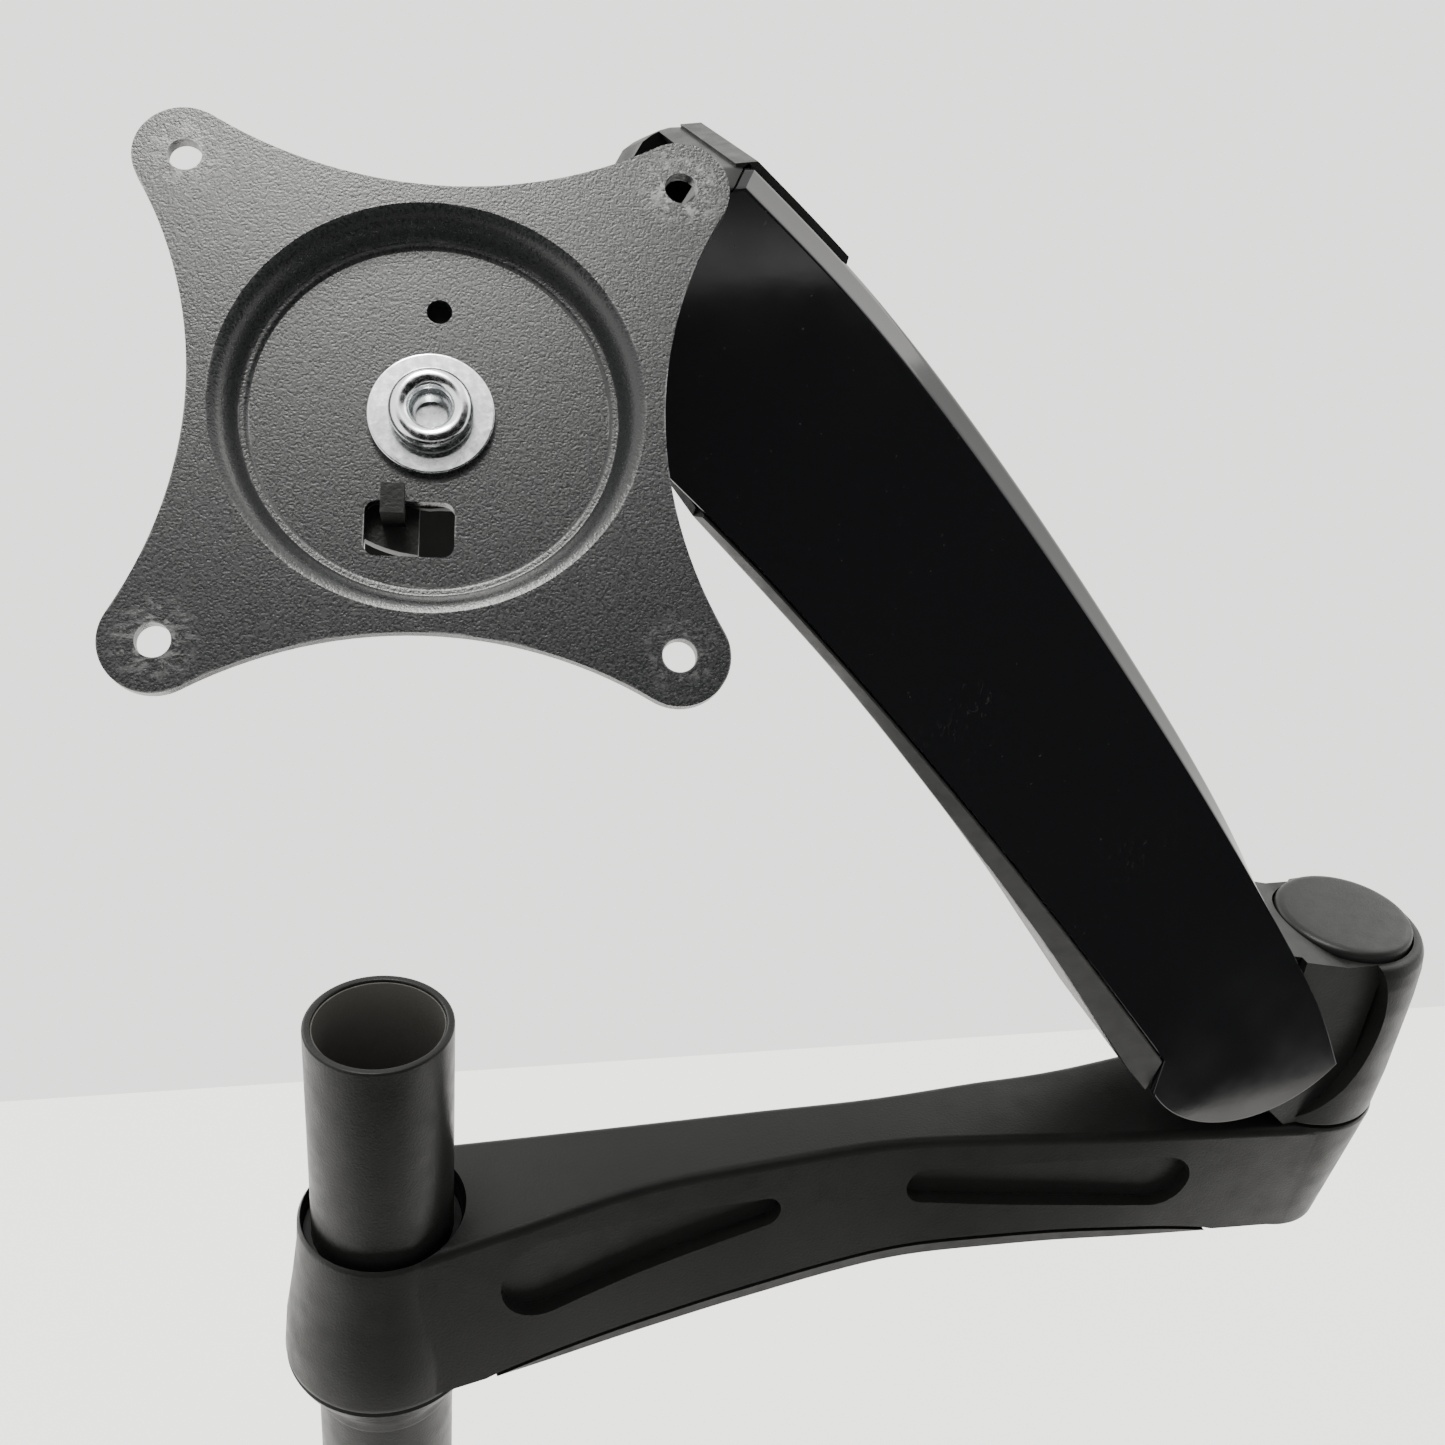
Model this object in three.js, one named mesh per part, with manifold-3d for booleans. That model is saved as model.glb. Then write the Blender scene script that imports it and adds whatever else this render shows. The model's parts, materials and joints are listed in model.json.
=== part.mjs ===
// Monitor arm: a sprung, levelling arm on a desk-clamped pole, with a tilting and rolling screen plate.
// Millimetres. The origin is on the desk top, on the pole's axis: X right, Y towards the back, Z up.
import * as THREE from 'three';
import Module from 'manifold-3d';
import { mergeVertices } from 'three/addons/utils/BufferGeometryUtils.js';

const wasm = await Module();
wasm.setup();

// ---- driving dimensions
const POLE = { outer: 17.5, inner: 15.5, top: 360, foot: 10 };
const HUB_TOP = 300;
const COLLAR_SCREW_Z = 250;
const LOWER = { yaw: 5.24, length: 265.1 };
const KNUCKLE = { yaw: 186, hinge: [36, 43], panel: 17.4, wall: 4, postRadius: 23.9 };
const CHEEK_LAND = 19.7;
const LIFT = { angle: 48, length: 245 };
const LINK_OFFSET = [6, -15];
const COVER = { half: 22, wall: 2, bevel: 3.7, bevelWidth: 4, endRadius: 35.3 };
const PAN = { reach: 50.7, angle: 78.85, drop: -18.4, hubRadius: 15 };
const TILT = { reach: 31.8, angle: 40.9 };
const PLATE = {
  pitch: 75, hole: 2.55, lobe: 7.7, waist: 35.2, face: 36, thickness: 2.2, dishRadius: 30.9, dishDepth: 5.4,
};
const CLAMP = { jawTop: -64, jawBottom: -72, screwAxis: -115, bracketScrews: [-15, 15], bracketScrewZ: 6 };
const COVER_SCREWS = [58, 210];
const RUNNING = 0.1;
const GAP = 0.3;
const DEG = Math.PI / 180;

// ---- finishes
const FINISH = {
  paint: { color: 0x2a2b29, roughness: 0.5, metalness: 0.2 },
  gloss: { color: 0x08090a, roughness: 0.12, metalness: 0 },
  plastic: { color: 0x30312e, roughness: 0.6, metalness: 0 },
  powder: { color: 0x26282a, roughness: 0.6, metalness: 0.3 },
  zinc: { color: 0xb9bdbf, roughness: 0.3, metalness: 0.9 },
  steel: { color: 0x8b8e90, roughness: 0.4, metalness: 0.8 },
  nylon: { color: 0x151515, roughness: 0.7, metalness: 0 },
  rubber: { color: 0x1b1b1b, roughness: 0.9, metalness: 0 },
};

// ---- solids
function toSolid(geometry) {
  const bare = geometry.clone();
  bare.deleteAttribute('normal');
  bare.deleteAttribute('uv');
  const merged = mergeVertices(bare, 1e-4);
  const vertProperties = new Float32Array(merged.attributes.position.array);
  const triVerts = new Uint32Array(merged.index.array);
  if (signedVolume(vertProperties, triVerts) < 0) triVerts.reverse();
  return new wasm.Manifold(new wasm.Mesh({ numProp: 3, vertProperties, triVerts }));
}

function signedVolume(positions, indices) {
  const corner = (i) => new THREE.Vector3().fromArray(positions, indices[i] * 3);
  let volume = 0;
  for (let i = 0; i < indices.length; i += 3) {
    volume += corner(i).dot(corner(i + 1).cross(corner(i + 2))) / 6;
  }
  return volume;
}

function piece(name, solid, finish) {
  const cut = solid.getMesh();
  const geometry = new THREE.BufferGeometry();
  geometry.setAttribute('position', new THREE.BufferAttribute(cut.vertProperties, 3));
  geometry.setIndex(new THREE.BufferAttribute(cut.triVerts, 1));
  geometry.computeVertexNormals();
  const mesh = new THREE.Mesh(geometry, new THREE.MeshStandardMaterial(FINISH[finish]));
  mesh.name = name;
  return mesh;
}

function joined(solids) {
  return solids.reduce((all, next) => all.add(next));
}

// Enough flats for a round part of this radius.
function flats(radius) {
  if (radius < 3) return 10;
  if (radius < 7) return 16;
  return radius < 12 ? 24 : 32;
}

// A turned solid about local Z, from a closed profile of [radius, z] points.
function turned(profile, x = 0) {
  const segments = flats(Math.max(...profile.map(([r]) => r)));
  const points = [...profile, profile[0]].map(([r, z]) => new THREE.Vector2(r, z));
  return toSolid(new THREE.LatheGeometry(points, segments).rotateX(Math.PI / 2).translate(x, 0, 0));
}

function cylinderZ(radius, low, high, [x, y] = [0, 0]) {
  const geometry = new THREE.CylinderGeometry(radius, radius, high - low, flats(radius));
  return toSolid(geometry.rotateX(Math.PI / 2).translate(x, y, (low + high) / 2));
}

function cylinderY(radius, low, high, [x, z] = [0, 0], segments = flats(radius)) {
  const geometry = new THREE.CylinderGeometry(radius, radius, high - low, segments);
  return toSolid(geometry.translate(x, (low + high) / 2, z));
}

function cylinderX(radius, low, high, [y, z] = [0, 0]) {
  const geometry = new THREE.CylinderGeometry(radius, radius, high - low, flats(radius));
  return toSolid(geometry.rotateZ(Math.PI / 2).translate((low + high) / 2, y, z));
}

function box([x0, x1], [y0, y1], [z0, z1]) {
  const geometry = new THREE.BoxGeometry(x1 - x0, y1 - y0, z1 - z0);
  return toSolid(geometry.translate((x0 + x1) / 2, (y0 + y1) / 2, (z0 + z1) / 2));
}

// A flat outline in the local XZ plane, thickened along Y.
function slabY(shape, low, high) {
  const settings = { depth: high - low, bevelEnabled: false, curveSegments: 7 };
  return toSolid(new THREE.ExtrudeGeometry(shape, settings).rotateX(Math.PI / 2).translate(0, high, 0));
}

// A flat outline in the local XY plane, thickened along Z.
function slabZ(shape, low, high, curveSegments = 8) {
  const settings = { depth: high - low, bevelEnabled: false, curveSegments };
  return toSolid(new THREE.ExtrudeGeometry(shape, settings).translate(0, 0, low));
}

function polygon(points) {
  return new THREE.Shape(points.map(([x, y]) => new THREE.Vector2(x, y)));
}

// A bar with round ends, in the local XZ plane.
function barShape([x0, z0], [x1, z1], r0, r1) {
  const along = Math.atan2(z1 - z0, x1 - x0);
  const lean = Math.acos((r0 - r1) / Math.hypot(x1 - x0, z1 - z0));
  const shape = new THREE.Shape();
  shape.absarc(x1, z1, r1, along - lean, along + lean, false);
  shape.absarc(x0, z0, r0, along + lean, along + 2 * Math.PI - lean, false);
  return shape;
}

// The triangles inside an outline, turning the same way as the outline does.
function filled(outline) {
  const turn = Math.sign(THREE.ShapeUtils.area(outline));
  return THREE.ShapeUtils.triangulateShape(outline, []).map(([a, b, c]) => {
    const area = THREE.ShapeUtils.area([outline[a], outline[b], outline[c]]);
    return Math.sign(area) === turn ? [a, b, c] : [a, c, b];
  });
}

// Rings of equal length, joined side by side and closed at both ends by their own outlines.
function loft(rings, endOutline) {
  const count = rings[0].length;
  const position = rings.flat(2);
  const index = [];
  for (let ring = 0; ring + 1 < rings.length; ring += 1) {
    for (let i = 0; i < count; i += 1) {
      const a = ring * count + i;
      const b = ring * count + ((i + 1) % count);
      index.push(a, b, b + count, a, b + count, a + count);
    }
  }
  const last = (rings.length - 1) * count;
  for (const [a, b, c] of filled(endOutline(rings[0]))) index.push(c, b, a);
  for (const [a, b, c] of filled(endOutline(rings.at(-1)))) index.push(last + a, last + b, last + c);
  const geometry = new THREE.BufferGeometry();
  geometry.setAttribute('position', new THREE.Float32BufferAttribute(position, 3));
  geometry.setIndex(index);
  return toSolid(geometry);
}

const acrossX = (ring) => ring.map(([, y, z]) => new THREE.Vector2(y, z));
const acrossY = (ring) => ring.map(([x, , z]) => new THREE.Vector2(z, x));

// A smooth height or width along a part, from the few points that set it.
function smooth(points) {
  const curve = new THREE.SplineCurve(points.map(([x, y]) => new THREE.Vector2(x, y)));
  const samples = curve.getPoints(points.length * 12);
  return (x) => {
    const next = samples.findIndex((sample) => sample.x >= x);
    if (next <= 0) return next === 0 ? samples[0].y : samples.at(-1).y;
    const [a, b] = [samples[next - 1], samples[next]];
    return THREE.MathUtils.lerp(a.y, b.y, (x - a.x) / (b.x - a.x));
  };
}

function steps(from, to, count) {
  return Array.from({ length: count + 1 }, (_, i) => THREE.MathUtils.lerp(from, to, i / count));
}

// ---- desk clamp and pole
function basePlate() {
  const shape = new THREE.Shape();
  const [halfWidth, front, back, corner] = [42, -52, 35.7, 14];
  shape.moveTo(-halfWidth, back);
  shape.lineTo(-halfWidth, front + corner);
  shape.absarc(-halfWidth + corner, front + corner, corner, Math.PI, 1.5 * Math.PI, false);
  shape.absarc(halfWidth - corner, front + corner, corner, 1.5 * Math.PI, 2 * Math.PI, false);
  shape.lineTo(halfWidth, back);
  const screwHoles = CLAMP.bracketScrews.map((x) => cylinderY(3.1, 20, 40, [x, CLAMP.bracketScrewZ]));
  const countersink = turned([[0, 0], [10.4, 0], [10.4, 5.5], [5.3, 8], [5.3, 12], [0, 12]]);
  return slabZ(shape, 2, 9.7).subtract(joined([countersink, ...screwHoles]));
}

function deskPad() {
  const shape = polygon([[-40, 33], [-40, -36], [-28, -48], [28, -48], [40, -36], [40, 33]]);
  return slabZ(shape, 0, 1.7);
}

function pole() {
  const { outer, inner, top, foot } = POLE;
  const lip = 0.5;
  return turned([
    [inner, foot], [outer, foot], [outer, top - lip],
    [outer - lip, top], [inner + lip, top], [inner, top - lip],
  ]);
}

function polePlug() {
  return turned([[4.2, 10], [POLE.inner - RUNNING, 10], [POLE.inner - RUNNING, 34], [4.2, 34]]);
}

function poleBolt() {
  return turned([[0, 2.3], [10, 2.3], [10, 5.4], [4.1, 8.2], [4.1, 32], [0, 32]]);
}

function clampBracket() {
  const [spineFront, spineBack] = [36, 42];
  const { jawTop, jawBottom } = CLAMP;
  const spine = box([-26, 26], [spineFront, spineBack], [jawBottom, 9.7]);
  const jaw = box([-26, 26], [-20, spineBack], [jawBottom, jawTop]);
  const rib = box([-3, 3], [24, 40], [-67, -54]);
  const holes = CLAMP.bracketScrews.map((x) => cylinderY(3.1, 30, 50, [x, CLAMP.bracketScrewZ]));
  const bore = cylinderZ(9.1, -80, -60, [0, 0]);
  return joined([spine, jaw, rib]).subtract(bore).subtract(joined(holes));
}

function bracketScrew(x) {
  const at = [x, CLAMP.bracketScrewZ];
  return cylinderY(3, 21, 44, at).add(cylinderY(5, 42.3, 45.5, at));
}

function jawNut() {
  return turned([[5.1, -72], [9, -72], [9, -63.7], [12, -63.7], [12, -61], [5.1, -61]]);
}

function clampScrew() {
  const stem = turned([[0, -112], [5, -112], [5, -35.5], [3, -35.5], [3, -31.5], [0, -31.5]]);
  const hub = turned([[0, -124], [9, -124], [10, -122], [10, -108], [8, -105], [0, -105]]);
  return stem.add(hub).subtract(cylinderX(4.1, -20, 20, [0, CLAMP.screwAxis]));
}

function clampHandle() {
  const [halfLength, z] = [38, CLAMP.screwAxis];
  const bar = cylinderX(4, -halfLength, halfLength, [0, z]);
  const knobs = [-halfLength, halfLength].map((x) => {
    return toSolid(new THREE.SphereGeometry(6, 12, 8).translate(x, 0, z));
  });
  return joined([bar, ...knobs]);
}

function clampPad() {
  return turned([
    [0, -31], [3.1, -31], [3.1, -35], [9, -35], [21, -34], [21, -31], [20, -30], [0, -30],
  ]);
}

function stopCollar() {
  const bore = POLE.outer + RUNNING;
  const outside = [
    [18.2, 238], [18.6, 242], [20.2, 245], [22.6, 248.5], [24.2, 251.2], [25.2, 254], [24.8, 254.6],
  ];
  const screwHole = cylinderY(2.1, 10, 30, [0, COLLAR_SCREW_Z]);
  return turned([[bore, 238], ...outside, [bore, 254.6]]).subtract(screwHole);
}

function collarScrew() {
  const at = [0, COLLAR_SCREW_Z];
  return cylinderY(2, POLE.outer + 0.15, 22.4, at).subtract(cylinderY(1.1, 20, 24, at, 6));
}

// ---- lower arm
const lowerHalfTop = smooth([
  [0, 20.6], [32, 16.3], [65, 12], [100, 10.4], [134, 9.6], [165, 12], [200, 15.2], [265, 23.4],
]);
const lowerTop = smooth([
  [0, 0], [32, 2.7], [65, 5.5], [100, 5.7], [134, 5], [165, 3], [200, 0.4], [265, -0.6],
]);
const lowerFlare = smooth([[0, 4], [134, 3.6], [200, 2], [265, -5.2]]);
const lowerBottom = smooth([
  [0, -45], [41, -44.3], [67, -42.8], [92, -39.6], [115, -37],
  [146, -34.8], [179, -35.4], [214, -38.8], [265, -45],
]);
const lowerCoverDepth = smooth([[24, 0.6], [45, 3], [90, 4], [170, 4], [215, 3], [238, 0.6]]);

function armStation(x, top, bottom, halfTop, halfBottom, round) {
  const corner = round * 0.3;
  const side = [
    [halfBottom - 1, bottom], [halfBottom, bottom + 1], [halfTop, top - round],
    [halfTop - corner, top - corner], [halfTop - round, top],
  ];
  const far = side.map(([y, z]) => [x, y, z]);
  const near = side.map(([y, z]) => [x, -y, z]).reverse();
  return [...far, ...near];
}

function lowerBeam(bottomAt) {
  const stations = steps(0, LOWER.length, 15).map((x) => {
    const half = lowerHalfTop(x);
    return armStation(x, lowerTop(x), bottomAt(x), half, half + lowerFlare(x), 2.4);
  });
  return loft(stations, acrossX);
}

// A long recess in each side of the arm, its floor a set depth inside the arm's own side.
function fingerGroove(first, last, firstRadius, lastRadius) {
  const depth = 3.2;
  const reach = 40;
  const prism = slabY(barShape(first, last, firstRadius, lastRadius), -reach, reach);
  const stations = steps(0, LOWER.length, 15).map((x) => {
    const half = lowerHalfTop(x) - depth;
    return armStation(x, 20, -60, half, half + lowerFlare(x), 1);
  });
  return prism.subtract(loft(stations, acrossX));
}

function lowerArm() {
  const hub = turned([[0, -45], [25.4, -45], [24.6, -33], [22.8, -21], [21.2, -8], [20.9, -1], [0, 0]]);
  const endProfile = [[0, -45], [17.6, -45], [18.2, -44], [23.6, -1.5], [23.2, -0.6], [0, -0.6]];
  const end = turned(endProfile, LOWER.length);
  const body = lowerBeam((x) => lowerBottom(x) + coverDepthAt(x));
  const grooves = [
    fingerGroove([38.5, -15.3], [98, -10.3], 11.7, 4.5),
    fingerGroove([144.5, -10.5], [215.5, -17.5], 5.6, 9.1),
  ];
  const poleBore = cylinderZ(19.75, -60, 5, [0, 0]);
  const shaftSeat = cylinderZ(9.1, -60, 5, [LOWER.length, 0]);
  const nutSeat = cylinderZ(13, -60, -30, [LOWER.length, 0]);
  const washerSeat = cylinderZ(20.3, -0.7, 5, [LOWER.length, 0]);
  const seats = [poleBore, shaftSeat, nutSeat, washerSeat, ...coverScrewHoles(1.6)];
  const cuts = joined([cablePocket(), ...grooves, ...seats]);
  return joined([hub, body, end]).subtract(cuts);
}

function coverDepthAt(x) {
  return x > 24 && x < 238 ? lowerCoverDepth(x) : 0;
}

// The hollow under the lower arm, where a screen's cables are tucked away.
function cablePocket() {
  const wall = 5.2;
  const stations = steps(46, 222, 7).map((x) => {
    const half = lowerHalfTop(x) - wall;
    return armStation(x, lowerTop(x) - 5, -60, half, half + lowerFlare(x), 1.5);
  });
  const towers = COVER_SCREWS.map((x) => cylinderZ(4, -60, 10, [x, 0]));
  return loft(stations, acrossX).subtract(joined(towers));
}

function coverScrewHoles(radius) {
  return COVER_SCREWS.map((x) => cylinderZ(radius, -60, -22, [x, 0]));
}

function bottomCover() {
  const stations = steps(26, 236, 12).map((x) => {
    const half = lowerHalfTop(x) + lowerFlare(x);
    const bottom = lowerBottom(x);
    const top = bottom + lowerCoverDepth(x) - GAP;
    return [[x, half - 1, bottom], [x, half, top], [x, -half, top], [x, -half + 1, bottom]];
  });
  const heads = COVER_SCREWS.map((x) => cylinderZ(3.4, -60, lowerBottom(x) + 2, [x, 0]));
  return loft(stations, acrossX).subtract(joined([...coverScrewHoles(1.8), ...heads]));
}

function coverScrew(x) {
  const seat = lowerBottom(x);
  return cylinderZ(3, seat + 0.2, seat + 1.95, [x, 0]).add(cylinderZ(1.5, seat + 1, -24, [x, 0]));
}

function hubBush(low, high) {
  const [inside, outside] = [POLE.outer + RUNNING, 19.65];
  return turned([[inside, low], [outside, low], [outside, high], [inside, high]]);
}

// ---- swivel between the two arms
function swivelShaft() {
  return turned([[0, -38.6], [7.9, -38.6], [7.9, 46], [0, 46]]).subtract(cylinderZ(2.5, 30, 50, [0, 0]));
}

function swivelBush() {
  return turned([[8, -30.5], [9, -30.5], [9, -0.7], [8, -0.7]]);
}

function swivelNut() {
  const hexagon = new THREE.CylinderGeometry(12, 12, 7, 6).rotateX(Math.PI / 2).translate(0, 0, -34.6);
  return toSolid(hexagon).subtract(cylinderZ(8, -60, 0, [0, 0]));
}

function thrustWasher() {
  return turned([[8.1, -0.5], [20, -0.5], [20, 0.4], [8.1, 0.4]]);
}

function knuckle() {
  const { panel, wall, postRadius: r } = KNUCKLE;
  const [x, z] = KNUCKLE.hinge;
  const post = turned([
    [0, 0.5], [r - 0.6, 0.5], [r, 14], [r, 40], [r - 0.4, 49], [r - 1.2, 54.4], [r - 2.1, 55.5], [0, 55.5],
  ]);
  const side = new THREE.Shape();
  side.moveTo(0, 0.5);
  side.lineTo(16, 0.5);
  side.lineTo(28, 12.5);
  side.absarc(38, 31, 21, -0.62 * Math.PI, 0.05 * Math.PI, false);
  side.lineTo(54, 52);
  side.lineTo(34, 62);
  side.lineTo(12, 56);
  side.lineTo(0, 55.5);
  const body = slabY(side, -panel, panel);
  const reach = post.add(body);
  const sweeps = [-1, 1].map((face) => {
    const [near, far] = [panel, panel + 12].map((y) => face * y);
    return cylinderY(44, Math.min(near, far), Math.max(near, far), [41.8, 35.5]);
  });
  const inside = box([32, 80], [-panel + wall, panel - wall], [4, 80]);
  const shaftBore = cylinderZ(8, -5, 47, [0, 0]);
  const capSeat = cylinderZ(19.4, 50, 70, [0, 0]);
  const hingeBore = cylinderY(5 + RUNNING, -30, 30, [x, z]);
  const linkBore = cylinderY(4 + RUNNING, -30, 30, [x + LINK_OFFSET[0], z + LINK_OFFSET[1]]);
  const clearOfArm = box([-30, 26.5], [-30, 30], [-5, 80]).subtract(cylinderY(15, -30, 30, [x, z]));
  const land = slabY(side, -CHEEK_LAND, CHEEK_LAND).intersect(clearOfArm);
  const outside = reach.subtract(joined(sweeps)).add(land);
  return outside.subtract(joined([inside, shaftBore, capSeat, hingeBore, linkBore]));
}

function knuckleCap() {
  const dome = [[0, 58.8], [14, 58.6], [17.4, 58.1], [18.5, 57.3], [18.8, 56.2]];
  return turned([[0, 50.3], [18.8, 50.3], ...dome.reverse()]);
}

// ---- upper arm, along local X from its hinge
const coverTop = smooth([
  [-33.5, 8.8], [-5, 14.4], [49.6, 19.2], [111, 22.4], [180, 23.6], [234, 21.9], [277, 16.4],
]);
const coverBottom = smooth([
  [13, -27], [63, -24.6], [107, -23.1], [153, -22.4], [192, -22.7], [219, -23.6], [266, -27],
]);
const trayBottom = smooth([
  [13, -36.2], [41, -33.4], [75, -30.2], [125, -27.2], [175, -25.4], [226, -26.2],
]);
const topBevel = smooth([[41, 0], [52, 1.6], [90, 3], [180, COVER.bevel], [277, COVER.bevel]]);
const TOP_START = 42;
const COVER_END = 274.3;
const NOSE = 5;
const CAP_FROM = COVER_END - 3.6;

function coverRing(y, raise, inset) {
  const bottom = steps(13, 262, 8).map((x) => [x, y, coverBottom(x) + inset]);
  const crest = (x) => coverTop(x) + raise * bevelAt(x) - inset;
  const nose = [[0, 9], [0.7, 5], [2.4, 2]].map(([back, drop]) => {
    return [COVER_END - back - inset, y, crest(COVER_END) - drop];
  });
  const top = [...nose, ...steps(COVER_END - NOSE, -33.5, 13).map((x) => [x, y, crest(x)])];
  const heel = steps(166, 278, 8).map((angle) => {
    const radius = COVER.endRadius - inset;
    return [radius * Math.cos(angle * DEG), y, radius * Math.sin(angle * DEG)];
  });
  return [...bottom, ...top, ...heel];
}

function bevelAt(x) {
  return x > 41 ? topBevel(x) / COVER.bevel : 0;
}

// The whole cover, with its nose, before it is parted into the cover and the front cap.
function coverShell() {
  const { half, wall, bevel, bevelWidth } = COVER;
  const shoulder = half - bevelWidth;
  const outside = loft([
    coverRing(-half, 0, 0.4), coverRing(-half + 0.5, 0, 0), coverRing(-shoulder, bevel, 0),
    coverRing(shoulder, bevel, 0), coverRing(half - 0.5, 0, 0), coverRing(half, 0, 0.4),
  ], acrossY);
  const inner = half - wall;
  const ceiling = steps(TOP_START, 300, 8).map((x) => [x, coverTop(x) + bevel * bevelAt(x) - 2 * wall]);
  const cavity = slabY(polygon([[TOP_START, -60], [300, -60], ...ceiling.reverse()]), -inner, inner);
  const mouthTop = coverTop(COVER_END) + bevel - 5.5;
  const mouth = box([COVER_END - 4, 310], [-17.4, 17.4], [-70, mouthTop]);
  const hollow = cavity.subtract(box([COVER_END - 3, 310], [-30, 30], [-70, 60])).add(mouth);
  const heelGap = box([-60, TOP_START + 0.01], [-inner, inner], [-60, 60]);
  return outside.subtract(hollow.add(heelGap));
}

function topCover() {
  return coverShell().intersect(box([-60, CAP_FROM - GAP], [-30, 30], [-60, 60]));
}

function undersideCover() {
  const stations = steps(13, 226, 10).map((x) => {
    const rim = coverBottom(x) - GAP;
    const floor = Math.min(trayBottom(x), rim - 1.5);
    const back = x === 13 ? 5 : x;
    const sill = Math.min(floor + 1.8, rim - 0.4);
    const lip = rim + GAP + 1.5;
    return [
      [back, -19.4, floor], [back, 19.4, floor], [x, 21.8, rim - 0.2], [x, 21.5, rim],
      [x, 19.7, rim], [x, 19.7, lip], [x, 18.7, lip], [x, 18.2, rim - 0.2],
      [back + 0.6, 18, sill], [back + 0.6, -18, sill],
      [x, -18.2, rim - 0.2], [x, -18.7, lip], [x, -19.7, lip], [x, -19.7, rim],
      [x, -21.5, rim], [x, -21.8, rim - 0.2],
    ];
  });
  return loft(stations, acrossX);
}

function frontCap() {
  const { bevel } = COVER;
  const crest = (x) => coverTop(x) + bevel;
  const [start, end, sheet] = [244, COVER_END - NOSE, 0.9];
  const under = steps(start, end, 6).map((x) => [x, crest(x) + GAP]);
  const over = steps(end + 0.4, start + 1, 6).map((x) => [x, crest(x) + GAP + sheet]);
  const foot = [
    [CAP_FROM - GAP, crest(end) + GAP - 0.4], [CAP_FROM, crest(end) - 3],
    [CAP_FROM + 1.4, crest(end) - 2.2],
  ];
  const strip = slabY(polygon([...under, ...foot, ...over]), -17.4, 17.4);
  const ring = coverShell().intersect(box([CAP_FROM, 310], [-30, 30], [-60, 60]));
  return strip.add(ring);
}

function armChannel() {
  const { length } = LIFT;
  const cheek = barShape([0, 0], [length, 0], 14.2, 13);
  const walls = [-1, 1].map((side) => {
    const faces = [17.8 * side, 19.6 * side];
    return slabY(cheek, Math.min(...faces), Math.max(...faces));
  });
  const web = box([50, 222], [-19.6, 19.6], [12.4, 14.4]);
  const bores = [
    cylinderY(5 + GAP, -30, 30, [0, 0]), cylinderY(4 + GAP, -30, 30, [length, 0]),
    cylinderY(4 + GAP, -30, 30, STRUT.eye),
  ];
  return joined([...walls, web]).subtract(joined(bores));
}

function crossPin(radius, half, centre) {
  return cylinderY(radius, -half, half, centre);
}

// ---- levelling link and gas strut
const LINK = { low: 4.5, high: 9.5, eye: 7 };

function levelLink() {
  const front = [LIFT.length * Math.cos(LIFT.angle * DEG), LIFT.length * Math.sin(LIFT.angle * DEG)];
  const bar = slabY(barShape([0, 0], front, 4, 4), LINK.low, LINK.high);
  const eyes = [[0, 0], front].map((centre) => cylinderY(LINK.eye, LINK.low, LINK.high, centre));
  const bores = [
    cylinderY(4 + RUNNING, 0, 20, [0, 0]), cylinderY(3.5 + GAP, 0, 20, front),
  ];
  return joined([bar, ...eyes]).subtract(joined(bores));
}

const STRUT = { eye: [170, -3], y: -5, radius: 7.5, rod: 3, from: 62, to: 158 };

// The strut lies along its own X, from the pin on the knuckle to the pin in the arm.
function strutCylinder(length) {
  const tube = cylinderX(STRUT.radius, STRUT.from, STRUT.to, [STRUT.y, 0]);
  const neck = box([STRUT.to - 2, length - 5], [STRUT.y - 4, STRUT.y + 4], [-4, 4]);
  const eye = cylinderY(8, STRUT.y - 4, STRUT.y + 4, [length, 0]);
  const bore = cylinderX(STRUT.rod + RUNNING, STRUT.from - 1, STRUT.to - 12, [STRUT.y, 0]);
  return joined([tube, neck, eye]).subtract(bore).subtract(cylinderY(4 + RUNNING, -30, 30, [length, 0]));
}

function strutRod() {
  const rod = cylinderX(STRUT.rod, 6, STRUT.to - 30, [STRUT.y, 0]);
  const eye = cylinderY(8, STRUT.y - 4, STRUT.y + 4, [0, 0]);
  return rod.add(eye).subtract(cylinderY(4 + 0.8, -30, 30, [0, 0]));
}

// ---- head, from the arm's front pin
function headBlock() {
  const { reach, hubRadius } = PAN;
  const [linkX, linkZ] = LINK_OFFSET;
  const top = barShape([0, 0], [20, -12], 11, 9);
  const web = slabY(top, -17, 17);
  const lower = slabY(barShape([linkX, linkZ], [26, -19], 8, 12), -17, 17);
  const neck = box([20, reach], [-12, 12], [-31, -7]);
  const hub = cylinderZ(hubRadius, -33, -5, [reach, 0]);
  const slotShape = barShape([linkX, linkZ], [linkX - 26, linkZ - 26], 8.2, 8.2);
  const slot = slabY(slotShape, LINK.low - GAP, LINK.high + GAP);
  const bores = [
    cylinderY(4 + RUNNING, -30, 30, [0, 0]), cylinderY(3.5 + RUNNING, -30, 30, [linkX, linkZ]),
    cylinderZ(6.1, -40, 0, [reach, 0]),
  ];
  return joined([web, lower, neck, hub]).subtract(slot).subtract(joined(bores));
}

function panBush() {
  return turned([[5.1, -33], [6, -33], [6, -5], [5.1, -5]]);
}

// ---- swivelling yoke, from the pan axis, facing local X
const YOKE = { top: 14.6, bottom: -15.8, sheet: 3, half: 13.5, ear: 3 };

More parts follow.
